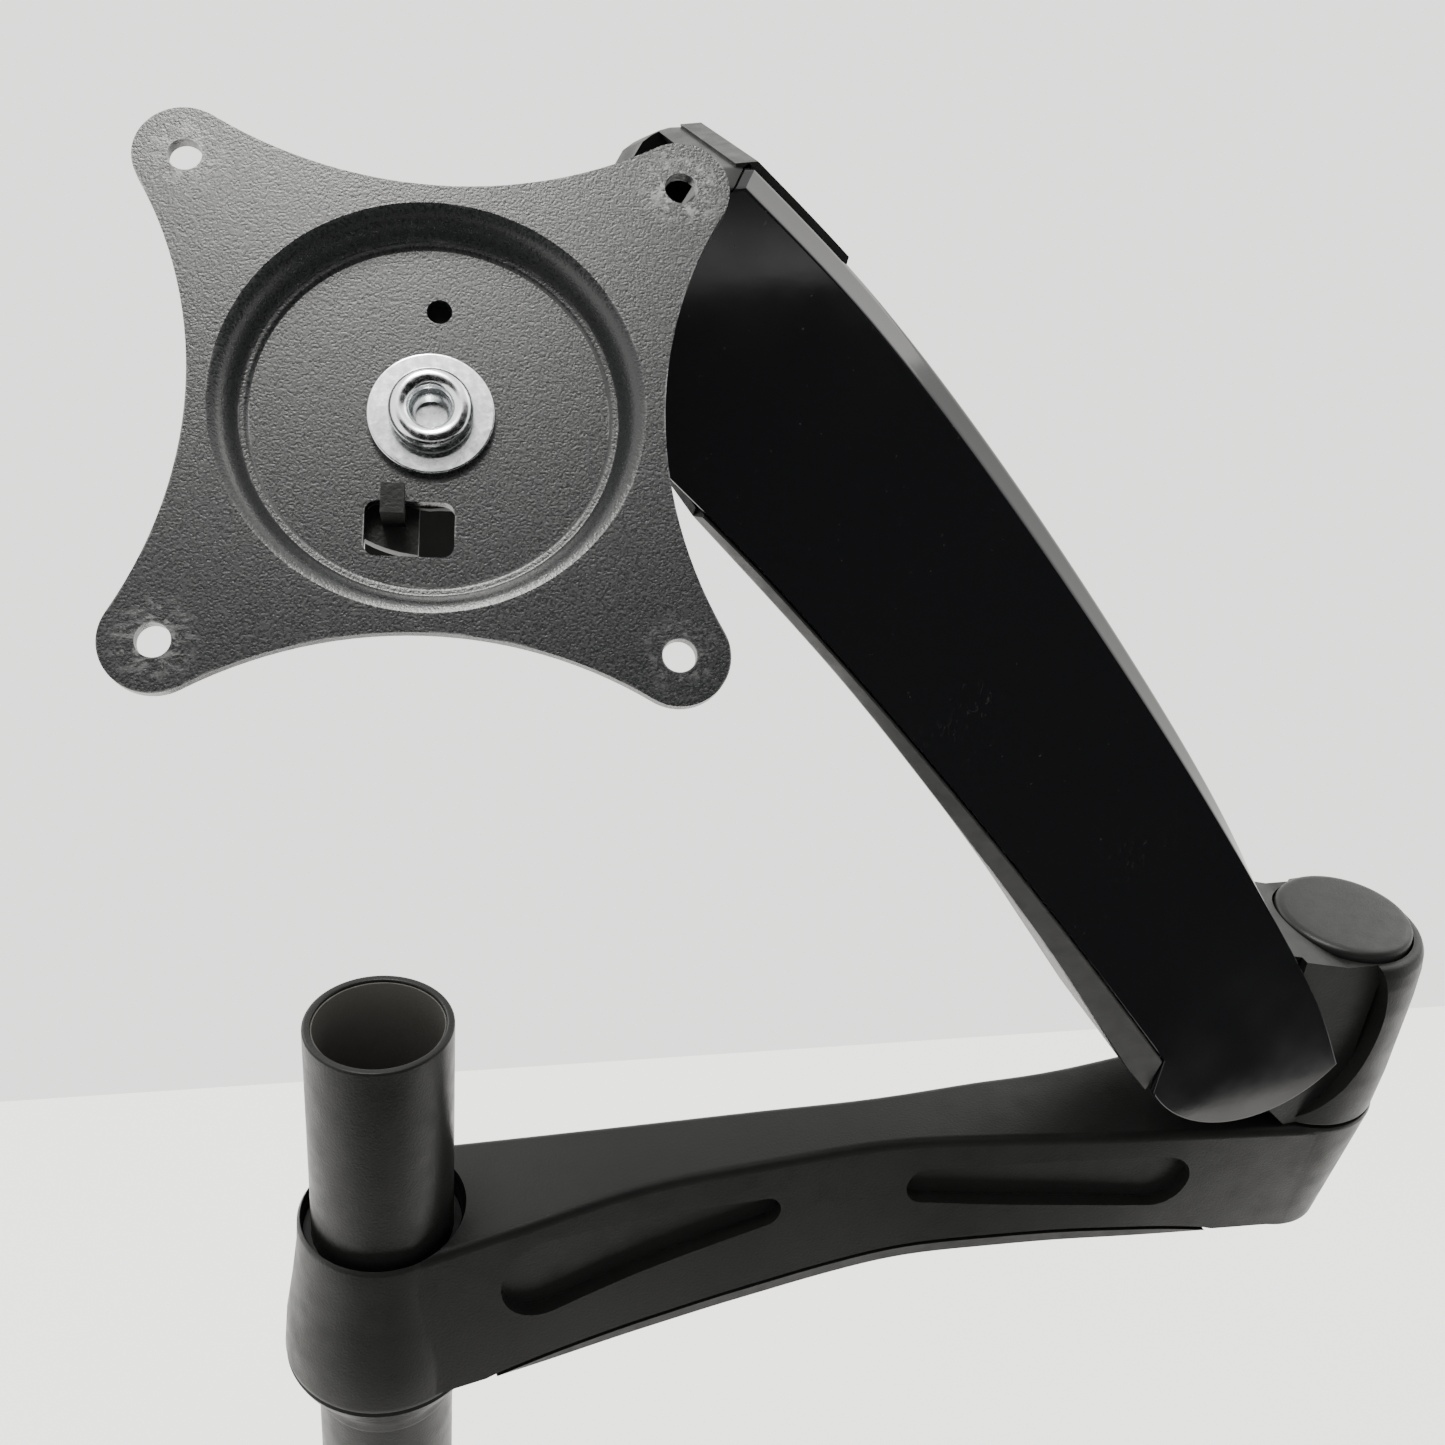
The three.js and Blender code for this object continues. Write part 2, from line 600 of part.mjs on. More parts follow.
function panYoke() {
  const { top, bottom, sheet, half, ear } = YOKE;
  const flangeShape = new THREE.Shape();
  flangeShape.absarc(0, 0, half, Math.PI / 2, 1.5 * Math.PI, false);
  flangeShape.lineTo(22, -half);
  flangeShape.lineTo(22, half);
  const flanges = [top, bottom - sheet].map((low) => slabZ(flangeShape, low, low + sheet));
  const web = box([19, 22], [-half, half], [bottom - sheet, top + sheet]);
  const ears = [-1, 1].map((side) => {
    const faces = [side * half, side * (half - ear)];
    const shape = barShape([20, 0], [TILT.reach, 0], 12, 9);
    const inFront = box([20, 60], [-30, 30], [-30, 30]);
    return slabY(shape, Math.min(...faces), Math.max(...faces)).intersect(inFront);
  });
  const panBore = cylinderZ(5 + RUNNING, -40, 40, [0, 0]);
  const tiltBore = cylinderY(4 + RUNNING, -40, 40, [TILT.reach, 0]);
  return joined([...flanges, web, ...ears]).subtract(joined([panBore, tiltBore]));
}

function panBolt() {
  return turned([[0, -26], [5, -26], [5, 17.7], [9, 17.7], [9, 21], [8, 22], [0, 22]]);
}

function panNut() {
  const hexagon = new THREE.CylinderGeometry(9, 9, 6, 6).rotateX(Math.PI / 2).translate(0, 0, -22);
  return toSolid(hexagon).subtract(cylinderZ(5 + RUNNING, -40, 40, [0, 0]));
}

function panWasher(low) {
  return turned([[5.1, low], [13, low], [13, low + 1], [5.1, low + 1]]);
}

// ---- tilting bracket, from the tilt axis, facing local X
const BRACKET = { face: 27, sheet: 2.5, half: 17.2 };

function tiltBracket() {
  const { face, sheet, half } = BRACKET;
  const disc = cylinderX(21, face - sheet, face, [0, 0]);
  const ears = [-1, 1].map((side) => {
    const faces = [side * half, side * (half - sheet)];
    const shape = polygon([[-7, -6], [0, -9], [face - 1, -13], [face - 1, 13], [0, 9], [-7, 6]]);
    return slabY(shape, Math.min(...faces), Math.max(...faces));
  });
  const tab = box([face - 1, 34], [-6.9, -3.4], [-16.6, -14.6]);
  const hook = box([32, 34], [-6.9, -3.4], [-16.6, -12]);
  const bores = [cylinderY(4 + RUNNING, -40, 40, [0, 0]), cylinderX(5.2, 0, 40, [0, 0])];
  const window = box([face - 4, face + 1], [-1.5, 6], [-22, -13]);
  return joined([disc.subtract(window), ...ears, tab, hook]).subtract(joined(bores));
}

function tiltBolt() {
  return cylinderY(4, -24.5, 22, [0, 0]).add(cylinderY(7, 19.4, 24, [0, 0]));
}

function tiltNut() {
  const hexagon = new THREE.CylinderGeometry(7.5, 7.5, 5.5, 6).translate(0, -22.1, 0);
  return toSolid(hexagon).subtract(cylinderY(4 + RUNNING, -40, 40, [0, 0]));
}

function tiltWasher(low) {
  return cylinderY(8.5, low, low + 1.6, [0, 0]).subtract(cylinderY(4 + RUNNING, -40, 40, [0, 0]));
}

// ---- screen plate, from the tilt axis, facing local X
function starOutline() {
  const { pitch, lobe, waist } = PLATE;
  const corner = pitch / 2;
  const centre = (2 * corner ** 2 - (waist - lobe) ** 2) / (2 * (corner - (waist - lobe)));
  const lean = Math.atan2(corner, centre - corner);
  const shape = new THREE.Shape();
  for (const turn of [0, 1, 2, 3]) {
    const at = turn * 90 * DEG;
    const [x, y] = [corner * (Math.cos(at) - Math.sin(at)), corner * (Math.sin(at) + Math.cos(at))];
    shape.absarc(x, y, lobe, at - lean, at + Math.PI / 2 + lean, false);
    const [cx, cy] = [-centre * Math.sin(at), centre * Math.cos(at)];
    shape.absarc(cx, cy, centre - waist, at - Math.PI / 2 + lean, at - Math.PI / 2 - lean, true);
  }
  return shape;
}

function screenPlate() {
  const { face, thickness: t, dishRadius: r, dishDepth: depth, pitch, hole } = PLATE;
  const floor = face - depth;
  const rim = slabZ(starOutline(), face - t, face, 7).subtract(cylinderZ(r + 1.4, 0, 60, [0, 0]));
  const dish = turned([
    [0, floor], [0, floor - t],
    [r - 4, floor - t], [r - 2.6, floor - t + 0.5], [r - 0.4, face - t - 0.8], [r + 2.4, face - t],
    [r + 2.4, face], [r + 0.4, face - 0.4], [r - 1.1, face - 1.9], [r - 2.1, floor + 1.1], [r - 3.4, floor],
  ]);
  const corners = [[1, 1], [-1, 1], [-1, -1], [1, -1]].map(([x, y]) => [(x * pitch) / 2, (y * pitch) / 2]);
  const holes = corners.map((at) => cylinderZ(hole, 0, 60, at));
  const centreBore = cylinderZ(5.2, 0, 60, [0, 0]);
  const pilot = cylinderZ(1.95, 0, 60, [-17, 0.7]);
  const slotShape = new THREE.Shape();
  const [slotX, slotY, round] = [[13.7, 22.3], [-9.4, 4], 1.8];
  slotShape.absarc(slotX[0] + round, slotY[0] + round, round, Math.PI, 1.5 * Math.PI, false);
  slotShape.absarc(slotX[1] - round, slotY[0] + round, round, 1.5 * Math.PI, 2 * Math.PI, false);
  slotShape.absarc(slotX[1] - round, slotY[1] - round, round, 0, 0.5 * Math.PI, false);
  slotShape.absarc(slotX[0] + round, slotY[1] - round, round, 0.5 * Math.PI, Math.PI, false);
  const slot = slabZ(slotShape, 0, 60, 4);
  return joined([rim, dish]).subtract(joined([...holes, centreBore, pilot, slot]));
}

function plateWasher() {
  const seat = PLATE.face - PLATE.dishDepth + 0.1;
  return turned([[5.1, seat], [9.6, seat], [9.6, seat + 1], [9.2, seat + 1.3], [5.1, seat + 1.3]]);
}

function plateRivet() {
  const seat = PLATE.face - PLATE.dishDepth + 1.5;
  return turned([
    [0, 20.5], [8, 20.5], [8, 23], [5, 23], [5, seat], [6.5, seat], [6, seat + 2], [4.8, seat + 3.4],
    [3.6, seat + 2.8], [3.3, seat - 1], [0, seat - 2],
  ]);
}

function backWasher() {
  return turned([[5.1, 23.1], [9, 23.1], [9, 24.4], [5.1, 24.4]]);
}

function rollDisc() {
  return turned([[5.3, 27.1], [14, 27.1], [14, 28.3], [5.3, 28.3]]);
}

// ---- the assembly
function group(parent, [x, y, z], pieces, { yaw = 0, pitch = 0 } = {}) {
  const made = new THREE.Group();
  made.position.set(x, y, z);
  made.rotation.set(0, -pitch * DEG, yaw * DEG, 'ZYX');
  made.add(...pieces);
  parent.add(made);
  return made;
}

const monitorArm = new THREE.Group();

group(monitorArm, [0, 0, 0], [
  piece('base_plate', basePlate(), 'paint'),
  piece('desk_pad', deskPad(), 'rubber'),
  piece('pole', pole(), 'paint'),
  piece('pole_plug', polePlug(), 'steel'),
  piece('pole_bolt', poleBolt(), 'zinc'),
  piece('clamp_bracket', clampBracket(), 'paint'),
  piece('bracket_screw_left', bracketScrew(-15), 'zinc'),
  piece('bracket_screw_right', bracketScrew(15), 'zinc'),
  piece('jaw_nut', jawNut(), 'zinc'),
  piece('clamp_screw', clampScrew(), 'zinc'),
  piece('clamp_handle', clampHandle(), 'zinc'),
  piece('clamp_pad', clampPad(), 'plastic'),
  piece('stop_collar', stopCollar(), 'paint'),
  piece('collar_screw', collarScrew(), 'steel'),
]);

const lowerGroup = group(monitorArm, [0, 0, HUB_TOP], [
  piece('lower_arm', lowerArm(), 'paint'),
  piece('upper_hub_bush', hubBush(-16, -5), 'nylon'),
  piece('lower_hub_bush', hubBush(-44.7, -33), 'nylon'),
  piece('bottom_cover', bottomCover(), 'plastic'),
  piece('cover_screw_inner', coverScrew(COVER_SCREWS[0]), 'zinc'),
  piece('cover_screw_outer', coverScrew(COVER_SCREWS[1]), 'zinc'),
], { yaw: LOWER.yaw });

group(lowerGroup, [LOWER.length, 0, 0], [
  piece('swivel_bush', swivelBush(), 'nylon'),
  piece('swivel_nut', swivelNut(), 'zinc'),
  piece('thrust_washer', thrustWasher(), 'nylon'),
]);

const [hingeX, hingeZ] = KNUCKLE.hinge;
const [linkX, linkZ] = LINK_OFFSET;
const knuckleGroup = group(lowerGroup, [LOWER.length, 0, 0], [
  piece('knuckle', knuckle(), 'paint'),
  piece('knuckle_cap', knuckleCap(), 'plastic'),
  piece('swivel_shaft', swivelShaft(), 'steel'),
], { yaw: KNUCKLE.yaw - LOWER.yaw });

group(knuckleGroup, [hingeX, 0, hingeZ], [
  piece('hinge_pin', crossPin(5, 19.7, [0, 0]), 'steel'),
  piece('link_pin', crossPin(4, 17.2, LINK_OFFSET), 'steel'),
]);

const armGroup = group(knuckleGroup, [hingeX, 0, hingeZ], [
  piece('arm_channel', armChannel(), 'steel'),
  piece('top_cover', topCover(), 'gloss'),
  piece('underside_cover', undersideCover(), 'plastic'),
  piece('front_cap', frontCap(), 'plastic'),
  piece('strut_pin', crossPin(4, 19.5, STRUT.eye), 'steel'),
  piece('front_pin', crossPin(4, 19.5, [LIFT.length, 0]), 'steel'),
], { pitch: LIFT.angle });

group(knuckleGroup, [hingeX + linkX, 0, hingeZ + linkZ], [piece('level_link', levelLink(), 'steel')]);

const lift = LIFT.angle * DEG;
const strutTip = [
  STRUT.eye[0] * Math.cos(lift) - STRUT.eye[1] * Math.sin(lift) - linkX,
  STRUT.eye[0] * Math.sin(lift) + STRUT.eye[1] * Math.cos(lift) - linkZ,
];
group(knuckleGroup, [hingeX + linkX, 0, hingeZ + linkZ], [
  piece('strut_cylinder', strutCylinder(Math.hypot(...strutTip)), 'paint'),
  piece('strut_rod', strutRod(), 'zinc'),
], { pitch: Math.atan2(strutTip[1], strutTip[0]) / DEG });

const headAt = [hingeX + LIFT.length * Math.cos(lift), 0, hingeZ + LIFT.length * Math.sin(lift)];
const headGroup = group(knuckleGroup, headAt, [
  piece('head_block', headBlock(), 'paint'),
  piece('head_link_pin', crossPin(3.5, 16.8, LINK_OFFSET), 'steel'),
]);

group(headGroup, [PAN.reach, 0, 0], [piece('pan_bush', panBush(), 'nylon')]);

const yokeGroup = group(headGroup, [PAN.reach, 0, PAN.drop], [
  piece('pan_yoke', panYoke(), 'paint'),
  piece('pan_bolt', panBolt(), 'zinc'),
  piece('pan_nut', panNut(), 'zinc'),
  piece('pan_washer_top', panWasher(13.5), 'nylon'),
  piece('pan_washer_bottom', panWasher(-15.7), 'nylon'),
], { yaw: PAN.angle });

const bracketGroup = group(yokeGroup, [TILT.reach, 0, 0], [
  piece('tilt_bracket', tiltBracket(), 'paint'),
  piece('tilt_bolt', tiltBolt(), 'zinc'),
  piece('tilt_nut', tiltNut(), 'zinc'),
  piece('tilt_washer', tiltWasher(17.5), 'zinc'),
], { pitch: TILT.angle });

const FACING = { pitch: -90 };
group(bracketGroup, [0, 0, 0], [
  piece('back_washer', backWasher(), 'zinc'),
  piece('roll_disc', rollDisc(), 'nylon'),
], FACING);

group(bracketGroup, [0, 0, 0], [
  piece('screen_plate', screenPlate(), 'powder'),
  piece('plate_washer', plateWasher(), 'zinc'),
  piece('plate_rivet', plateRivet(), 'zinc'),
], FACING);

export default monitorArm;
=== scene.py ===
"""Looks of the monitor arm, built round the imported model. Each piece is drawn in millimetres in a local
frame that comes from the joints, then placed in the shared frame in metres."""
import json
import math
import bmesh
import bpy
from mathutils import Matrix, Vector

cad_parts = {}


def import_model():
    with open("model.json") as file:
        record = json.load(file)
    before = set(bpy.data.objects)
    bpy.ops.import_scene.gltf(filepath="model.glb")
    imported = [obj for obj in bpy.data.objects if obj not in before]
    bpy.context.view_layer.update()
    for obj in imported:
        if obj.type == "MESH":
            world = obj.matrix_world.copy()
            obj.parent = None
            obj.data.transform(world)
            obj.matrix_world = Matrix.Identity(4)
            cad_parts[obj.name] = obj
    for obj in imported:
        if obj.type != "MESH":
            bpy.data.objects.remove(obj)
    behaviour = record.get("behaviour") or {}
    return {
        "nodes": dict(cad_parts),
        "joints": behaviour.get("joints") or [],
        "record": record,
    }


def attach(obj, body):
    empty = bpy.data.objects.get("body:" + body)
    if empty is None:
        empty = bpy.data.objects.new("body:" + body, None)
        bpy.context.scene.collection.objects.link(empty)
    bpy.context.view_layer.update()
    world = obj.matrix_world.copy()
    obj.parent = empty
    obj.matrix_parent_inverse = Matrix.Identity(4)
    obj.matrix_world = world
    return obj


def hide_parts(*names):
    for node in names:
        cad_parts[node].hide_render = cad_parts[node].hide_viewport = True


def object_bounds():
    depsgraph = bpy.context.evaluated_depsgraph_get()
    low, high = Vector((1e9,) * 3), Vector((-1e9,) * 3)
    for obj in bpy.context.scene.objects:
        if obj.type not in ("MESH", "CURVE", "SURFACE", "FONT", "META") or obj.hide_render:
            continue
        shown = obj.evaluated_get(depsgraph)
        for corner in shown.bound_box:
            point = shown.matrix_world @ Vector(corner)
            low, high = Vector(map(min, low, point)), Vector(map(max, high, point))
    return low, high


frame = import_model()
cad_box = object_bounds()

# ---------------------------------------------------------------- places, from the joints
MM = 0.001
UP = Vector((0, 0, 1))
JOINTS = {joint["name"]: joint for joint in frame["joints"]}


def at(joint):
    return Vector(JOINTS[joint]["pos_m"])


def level(direction):
    return Vector((direction.x, direction.y, 0)).normalized()


def axes(origin, along):
    """A local frame in millimetres: X runs along the given direction, and Y stays level."""
    x = Vector(along).normalized()
    y = UP.cross(x).normalized()
    z = x.cross(y)
    turned = Matrix((x, y, z)).transposed().to_4x4()
    return Matrix.Translation(origin) @ turned @ Matrix.Scale(MM, 4)


DESK = Matrix.Scale(MM, 4)
LOWER = axes(at("lower_arm_swivel"), at("elbow_swivel") - at("lower_arm_swivel"))
BACK_TO_HEAD = level(at("arm_lift") - at("elbow_swivel"))
ELBOW = axes(at("elbow_swivel"), BACK_TO_HEAD)
LIFT = axes(at("arm_lift"), at("head_level") - at("arm_lift"))
HEAD = axes(at("head_level"), BACK_TO_HEAD)
YOKE = axes(at("head_pan"), level(at("plate_tilt") - at("head_pan")))
PLATE = axes(at("plate_tilt"), JOINTS["plate_roll"]["axis"])
LINK = axes(at("link_swing"), at("head_level") - at("arm_lift"))
STRUT = axes(at("link_swing"), at("strut_swing") - at("link_swing"))
FACING = PLATE @ Matrix.Rotation(math.pi / 2, 4, "Y")

LOWER_LENGTH = (at("elbow_swivel") - at("lower_arm_swivel")).length / MM
LIFT_LENGTH = (at("head_level") - at("arm_lift")).length / MM
STRUT_LENGTH = (at("strut_swing") - at("link_swing")).length / MM
PAN_REACH = level(at("head_pan") - at("head_level")).dot(at("head_pan") - at("head_level")) / MM
TILT_REACH = (at("plate_tilt") - at("head_pan")).length / MM
HINGE_X = 36
HINGE_Z = 43
LINK_X, LINK_Z = 6, -15
POLE_RADIUS = 17.5
POLE_TOP = 360
COLLAR_SCREW_Z = 250
STRUT_EYE = (170, -3)
STRUT_SIDE, STRUT_RADIUS, ROD_RADIUS = -5, 7.5, 3
EYE_PLAY = 0.8

# Screen plate: hole pitch, lobe radius and half waist, then face, sheet, dish radius and depth.
PITCH, LOBE, WAIST = 75, 7.7, 35.2
FACE, SHEET, DISH, DEPTH = 36, 2.2, 30.9, 5.4


# ---------------------------------------------------------------- meshes
def mesh_object(vertices, faces):
    mesh = bpy.data.meshes.new("piece")
    mesh.from_pydata([tuple(v) for v in vertices], [], faces)
    work = bmesh.new()
    work.from_mesh(mesh)
    bmesh.ops.recalc_face_normals(work, faces=work.faces)
    work.to_mesh(mesh)
    work.free()
    made = bpy.data.objects.new("piece", mesh)
    bpy.context.scene.collection.objects.link(made)
    return made


def loft(rings):
    """Skins rings of equal length one after another, and closes both ends."""
    count = len(rings[0])
    vertices = [point for ring in rings for point in ring]
    faces = []
    for ring in range(len(rings) - 1):
        for i in range(count):
            a, b = ring * count + i, ring * count + (i + 1) % count
            faces.append((a, b, b + count, a + count))
    last = (len(rings) - 1) * count
    faces.append(tuple(reversed(range(count))))
    faces.append(tuple(range(last, last + count)))
    return mesh_object(vertices, faces)


def lathe(profile, segments=96, centre=(0, 0)):
    """Turns [radius, z] points about local Z.

    A profile ends on the axis at both ends, or closes on itself.
    """
    solid = profile[0][0] == 0
    points = profile[1:-1] if solid else profile
    vertices = []
    for radius, z in points:
        for i in range(segments):
            angle = 2 * math.pi * i / segments
            x, y = radius * math.cos(angle), radius * math.sin(angle)
            vertices.append((centre[0] + x, centre[1] + y, z))
    faces = []
    rows = len(points) - 1 if solid else len(points)
    for row in range(rows):
        low, high = row * segments, ((row + 1) % len(points)) * segments
        for i in range(segments):
            j = (i + 1) % segments
            faces.append((low + i, low + j, high + j, high + i))
    if solid:
        faces.append(tuple(range(segments)))
        faces.append(tuple(range((len(points) - 1) * segments, len(points) * segments)))
    return mesh_object(vertices, faces)


def rounded(profile, radius, steps=5):
    """Rounds every corner of a profile that has room for it, apart from points on the axis."""
    closed = profile[0][0] != 0
    count = len(profile)
    out = []
    for i, point in enumerate(profile):
        here = Vector(point)
        if not closed and i in (0, count - 1):
            out.append(tuple(here))
            continue
        before, after = Vector(profile[i - 1]), Vector(profile[(i + 1) % count])
        reach = min(radius, (before - here).length * 0.45, (after - here).length * 0.45)
        start = here + (before - here).normalized() * reach
        end = here + (after - here).normalized() * reach
        for step in range(steps + 1):
            t = step / steps
            out.append(tuple(start * (1 - t) ** 2 + here * 2 * t * (1 - t) + end * t * t))
    return out


def slab(outline, low, high, axis="z"):
    """Thickens a flat outline along one local axis."""
    place = {
        "x": lambda u, v, w: (w, u, v),
        "y": lambda u, v, w: (u, w, v),
        "z": lambda u, v, w: (u, v, w),
    }[axis]
    rings = [[place(u, v, w) for u, v in outline] for w in (low, high)]
    return loft(rings)


def circle(radius, centre=(0, 0), segments=64, start=0):
    turns = [start + 2 * math.pi * i / segments for i in range(segments)]
    return [(centre[0] + radius * math.cos(a), centre[1] + radius * math.sin(a)) for a in turns]


def arc(centre, radius, first, last, steps=16):
    """Points along an arc, from one angle to another in degrees."""
    turns = [math.radians(first + (last - first) * i / steps) for i in range(steps + 1)]
    return [(centre[0] + radius * math.cos(a), centre[1] + radius * math.sin(a)) for a in turns]


def rod(radius, low, high, axis="z", centre=(0, 0), segments=64):
    return slab(circle(radius, centre, segments), low, high, axis)


def both_sides(outline, inner, outer):
    """The same upright sheet on each side of the middle plane, the negative side first."""
    return [slab(outline, -outer, -inner, "y"), slab(outline, inner, outer, "y")]


def block(x, y, z):
    return slab([(x[0], y[0]), (x[1], y[0]), (x[1], y[1]), (x[0], y[1])], *z)


def rounded_box(x, y, radius):
    corners = [(x[1], y[1], 0), (x[0], y[1], 90), (x[0], y[0], 180), (x[1], y[0], 270)]
    inset = {x[0]: radius, x[1]: -radius}
    drop = {y[0]: radius, y[1]: -radius}
    out = []
    for cx, cy, first in corners:
        out += arc((cx + inset[cx], cy + drop[cy]), radius, first, first + 90, 8)
    return out


def bar(first, second, r0, r1, steps=20):
    """A bar with round ends, as an outline."""
    (x0, z0), (x1, z1) = first, second
    along = math.degrees(math.atan2(z1 - z0, x1 - x0))
    lean = math.degrees(math.acos((r0 - r1) / math.hypot(x1 - x0, z1 - z0)))
    far = arc(second, r1, along - lean, along + lean, steps)
    near = arc(first, r0, along + lean, along + 360 - lean, steps)
    return far + near


def applied(obj):
    """Makes the object's modifiers permanent."""
    graph = bpy.context.evaluated_depsgraph_get()
    graph.update()
    mesh = bpy.data.meshes.new_from_object(obj.evaluated_get(graph))
    obj.modifiers.clear()
    old = obj.data
    obj.data = mesh
    bpy.data.meshes.remove(old)
    return obj


def combined(obj, tools, operation):
    for tool in tools:
        step = obj.modifiers.new("combine", "BOOLEAN")
        step.operation = operation
        step.solver = "EXACT"
        step.object = tool
        applied(obj)
        bpy.data.objects.remove(tool)
    return obj


def joined(obj, *others):
    return combined(obj, others, "UNION")


def cut(obj, *tools):
    return combined(obj, tools, "DIFFERENCE")


def softened(obj, width, segments=3, angle=32):
    """Rounds the edges that turn more than the angle."""
    step = obj.modifiers.new("edges", "BEVEL")
    step.width = width
    step.segments = segments
    step.limit_method = "ANGLE"
    step.angle_limit = math.radians(angle)
    step.use_clamp_overlap = True
    step.harden_normals = False
    return applied(obj)


def cast(obj, voxel=0.9, smoothing=5):
    """Gives a joined shape the blended corners of a casting."""
    step = obj.modifiers.new("skin", "REMESH")
    step.mode = "VOXEL"
    step.voxel_size = voxel
    step = obj.modifiers.new("flow", "SMOOTH")
    step.factor = 0.5
    step.iterations = smoothing
    return applied(obj)


def moved(obj, offset):
    obj.data.transform(Matrix.Translation(offset))
    return obj


def smooth(points):
    """A height or width along a part: a curve through the few points that set it."""
    line = [Vector(p) for p in points]
    samples = []
    for i in range(len(line) - 1):
        p0, p1, p2, p3 = line[max(i - 1, 0)], line[i], line[i + 1], line[min(i + 2, len(line) - 1)]
        v0, v1 = (p2 - p0) / 2, (p3 - p1) / 2
        for step in range(16):
            t = step / 16
            cubic = (2 * p1 - 2 * p2 + v0 + v1) * t ** 3 + (-3 * p1 + 3 * p2 - 2 * v0 - v1) * t ** 2
            samples.append(cubic + v0 * t + p1)
    samples.append(line[-1])

    def height(x):
        if x <= samples[0].x:
            return samples[0].y
        for a, b in zip(samples, samples[1:]):
            if x <= b.x:
                return a.y + (b.y - a.y) * (x - a.x) / (b.x - a.x)
        return samples[-1].y

    return height


def spaced(first, last, count):
    return [first + (last - first) * i / count for i in range(count + 1)]


def placed(obj, name, local, body, material, replaces, sharp=38):
    """Puts a finished piece in the shared frame, says what it rides on, and hides the imported pieces it
    stands for.
    """
    obj.name = obj.data.name = name
    obj.data.transform(local)
    work = bmesh.new()
    work.from_mesh(obj.data)
    bmesh.ops.remove_doubles(work, verts=work.verts, dist=1e-7)
    bmesh.ops.recalc_face_normals(work, faces=work.faces)
    for face in work.faces:
        face.smooth = True
    for edge in work.edges:
        edge.smooth = len(edge.link_faces) == 2 and edge.calc_face_angle(0) < math.radians(sharp)
    work.to_mesh(obj.data)
    work.free()
    step = obj.modifiers.new("normals", "WEIGHTED_NORMAL")
    step.keep_sharp = True
    applied(obj)
    obj.data.materials.clear()
    obj.data.materials.append(material)
    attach(obj, body)
    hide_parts(*replaces)
    return obj


# ---------------------------------------------------------------- materials
class Surface:
    """A Principled material with short calls for what feeds it, in the piece's own metres."""

    def __init__(self, name, **values):
        self.material = bpy.data.materials.new(name)
        self.material.use_nodes = True
        self.tree = self.material.node_tree
        self.shader = self.tree.nodes["Principled BSDF"]
        for socket, value in values.items():
            label = socket.replace("_", " ").title().replace("Ior", "IOR")
            self.shader.inputs[label].default_value = value
        self.place = self.tree.nodes.new("ShaderNodeTexCoord").outputs["Object"]

    def node(self, kind, inputs=(), **settings):
        made = self.tree.nodes.new(kind)
        for key, value in settings.items():
            setattr(made, key, value)
        for socket, value in dict(inputs).items():
            if isinstance(value, bpy.types.NodeSocket):
                self.tree.links.new(value, made.inputs[socket])
            else:
                made.inputs[socket].default_value = value
        return made

    def noise(self, scale, detail=3.0, rough=0.5, stretch=None):
        place = self.place
        if stretch:
            settings = {"Vector": place, "Scale": stretch}
            place = self.node("ShaderNodeMapping", settings).outputs["Vector"]
        settings = {"Vector": place, "Scale": scale, "Detail": detail, "Roughness": rough}
        return self.node("ShaderNodeTexNoise", settings).outputs["Fac"]

    def ranged(self, value, low, high, to_low, to_high):
        settings = {"Value": value, "From Min": low, "From Max": high}
        settings.update({"To Min": to_low, "To Max": to_high})
        return self.node("ShaderNodeMapRange", settings).outputs["Result"]

    def math(self, operation, a, b):
        return self.node("ShaderNodeMath", {0: a, 1: b}, operation=operation).outputs[0]

    def mixed(self, factor, a, b):
        made = self.node("ShaderNodeMix", {"Factor": factor}, data_type="RGBA")
        for socket, value in ((made.inputs[6], a), (made.inputs[7], b)):
            if isinstance(value, bpy.types.NodeSocket):
                self.tree.links.new(value, socket)
            else:
                socket.default_value = (*value, 1)
        return made.outputs[2]

    def near(self, point, radius, fade):
        """1 at a point in the shared frame, falling to 0 beyond a radius."""
        apart = self.node("ShaderNodeVectorMath", {0: self.place, 1: point}, operation="DISTANCE")
        return self.ranged(apart.outputs["Value"], radius, radius + fade, 1.0, 0.0)

    def edges(self, radius, strength):
        """1 on the edges of the piece, 0 on its faces."""
        round_normal = self.node("ShaderNodeBevel", {"Radius": radius}, samples=4).outputs["Normal"]
        true_normal = self.node("ShaderNodeNewGeometry").outputs["Normal"]
        normals = {0: round_normal, 1: true_normal}
        dot = self.node("ShaderNodeVectorMath", normals, operation="DOT_PRODUCT")
        return self.ranged(dot.outputs["Value"], 1.0 - strength, 0.999, 1.0, 0.0)

    def colour(self, value):
        self.tree.links.new(value, self.shader.inputs["Base Color"])

    def roughness(self, value):
        self.tree.links.new(value, self.shader.inputs["Roughness"])

    def bump(self, height, strength, distance, under=None):
        inputs = {"Height": height, "Strength": strength, "Distance": distance}
        if under is not None:
            inputs["Normal"] = under
        made = self.node("ShaderNodeBump", inputs).outputs["Normal"]
        self.tree.links.new(made, self.shader.inputs["Normal"])
        return made


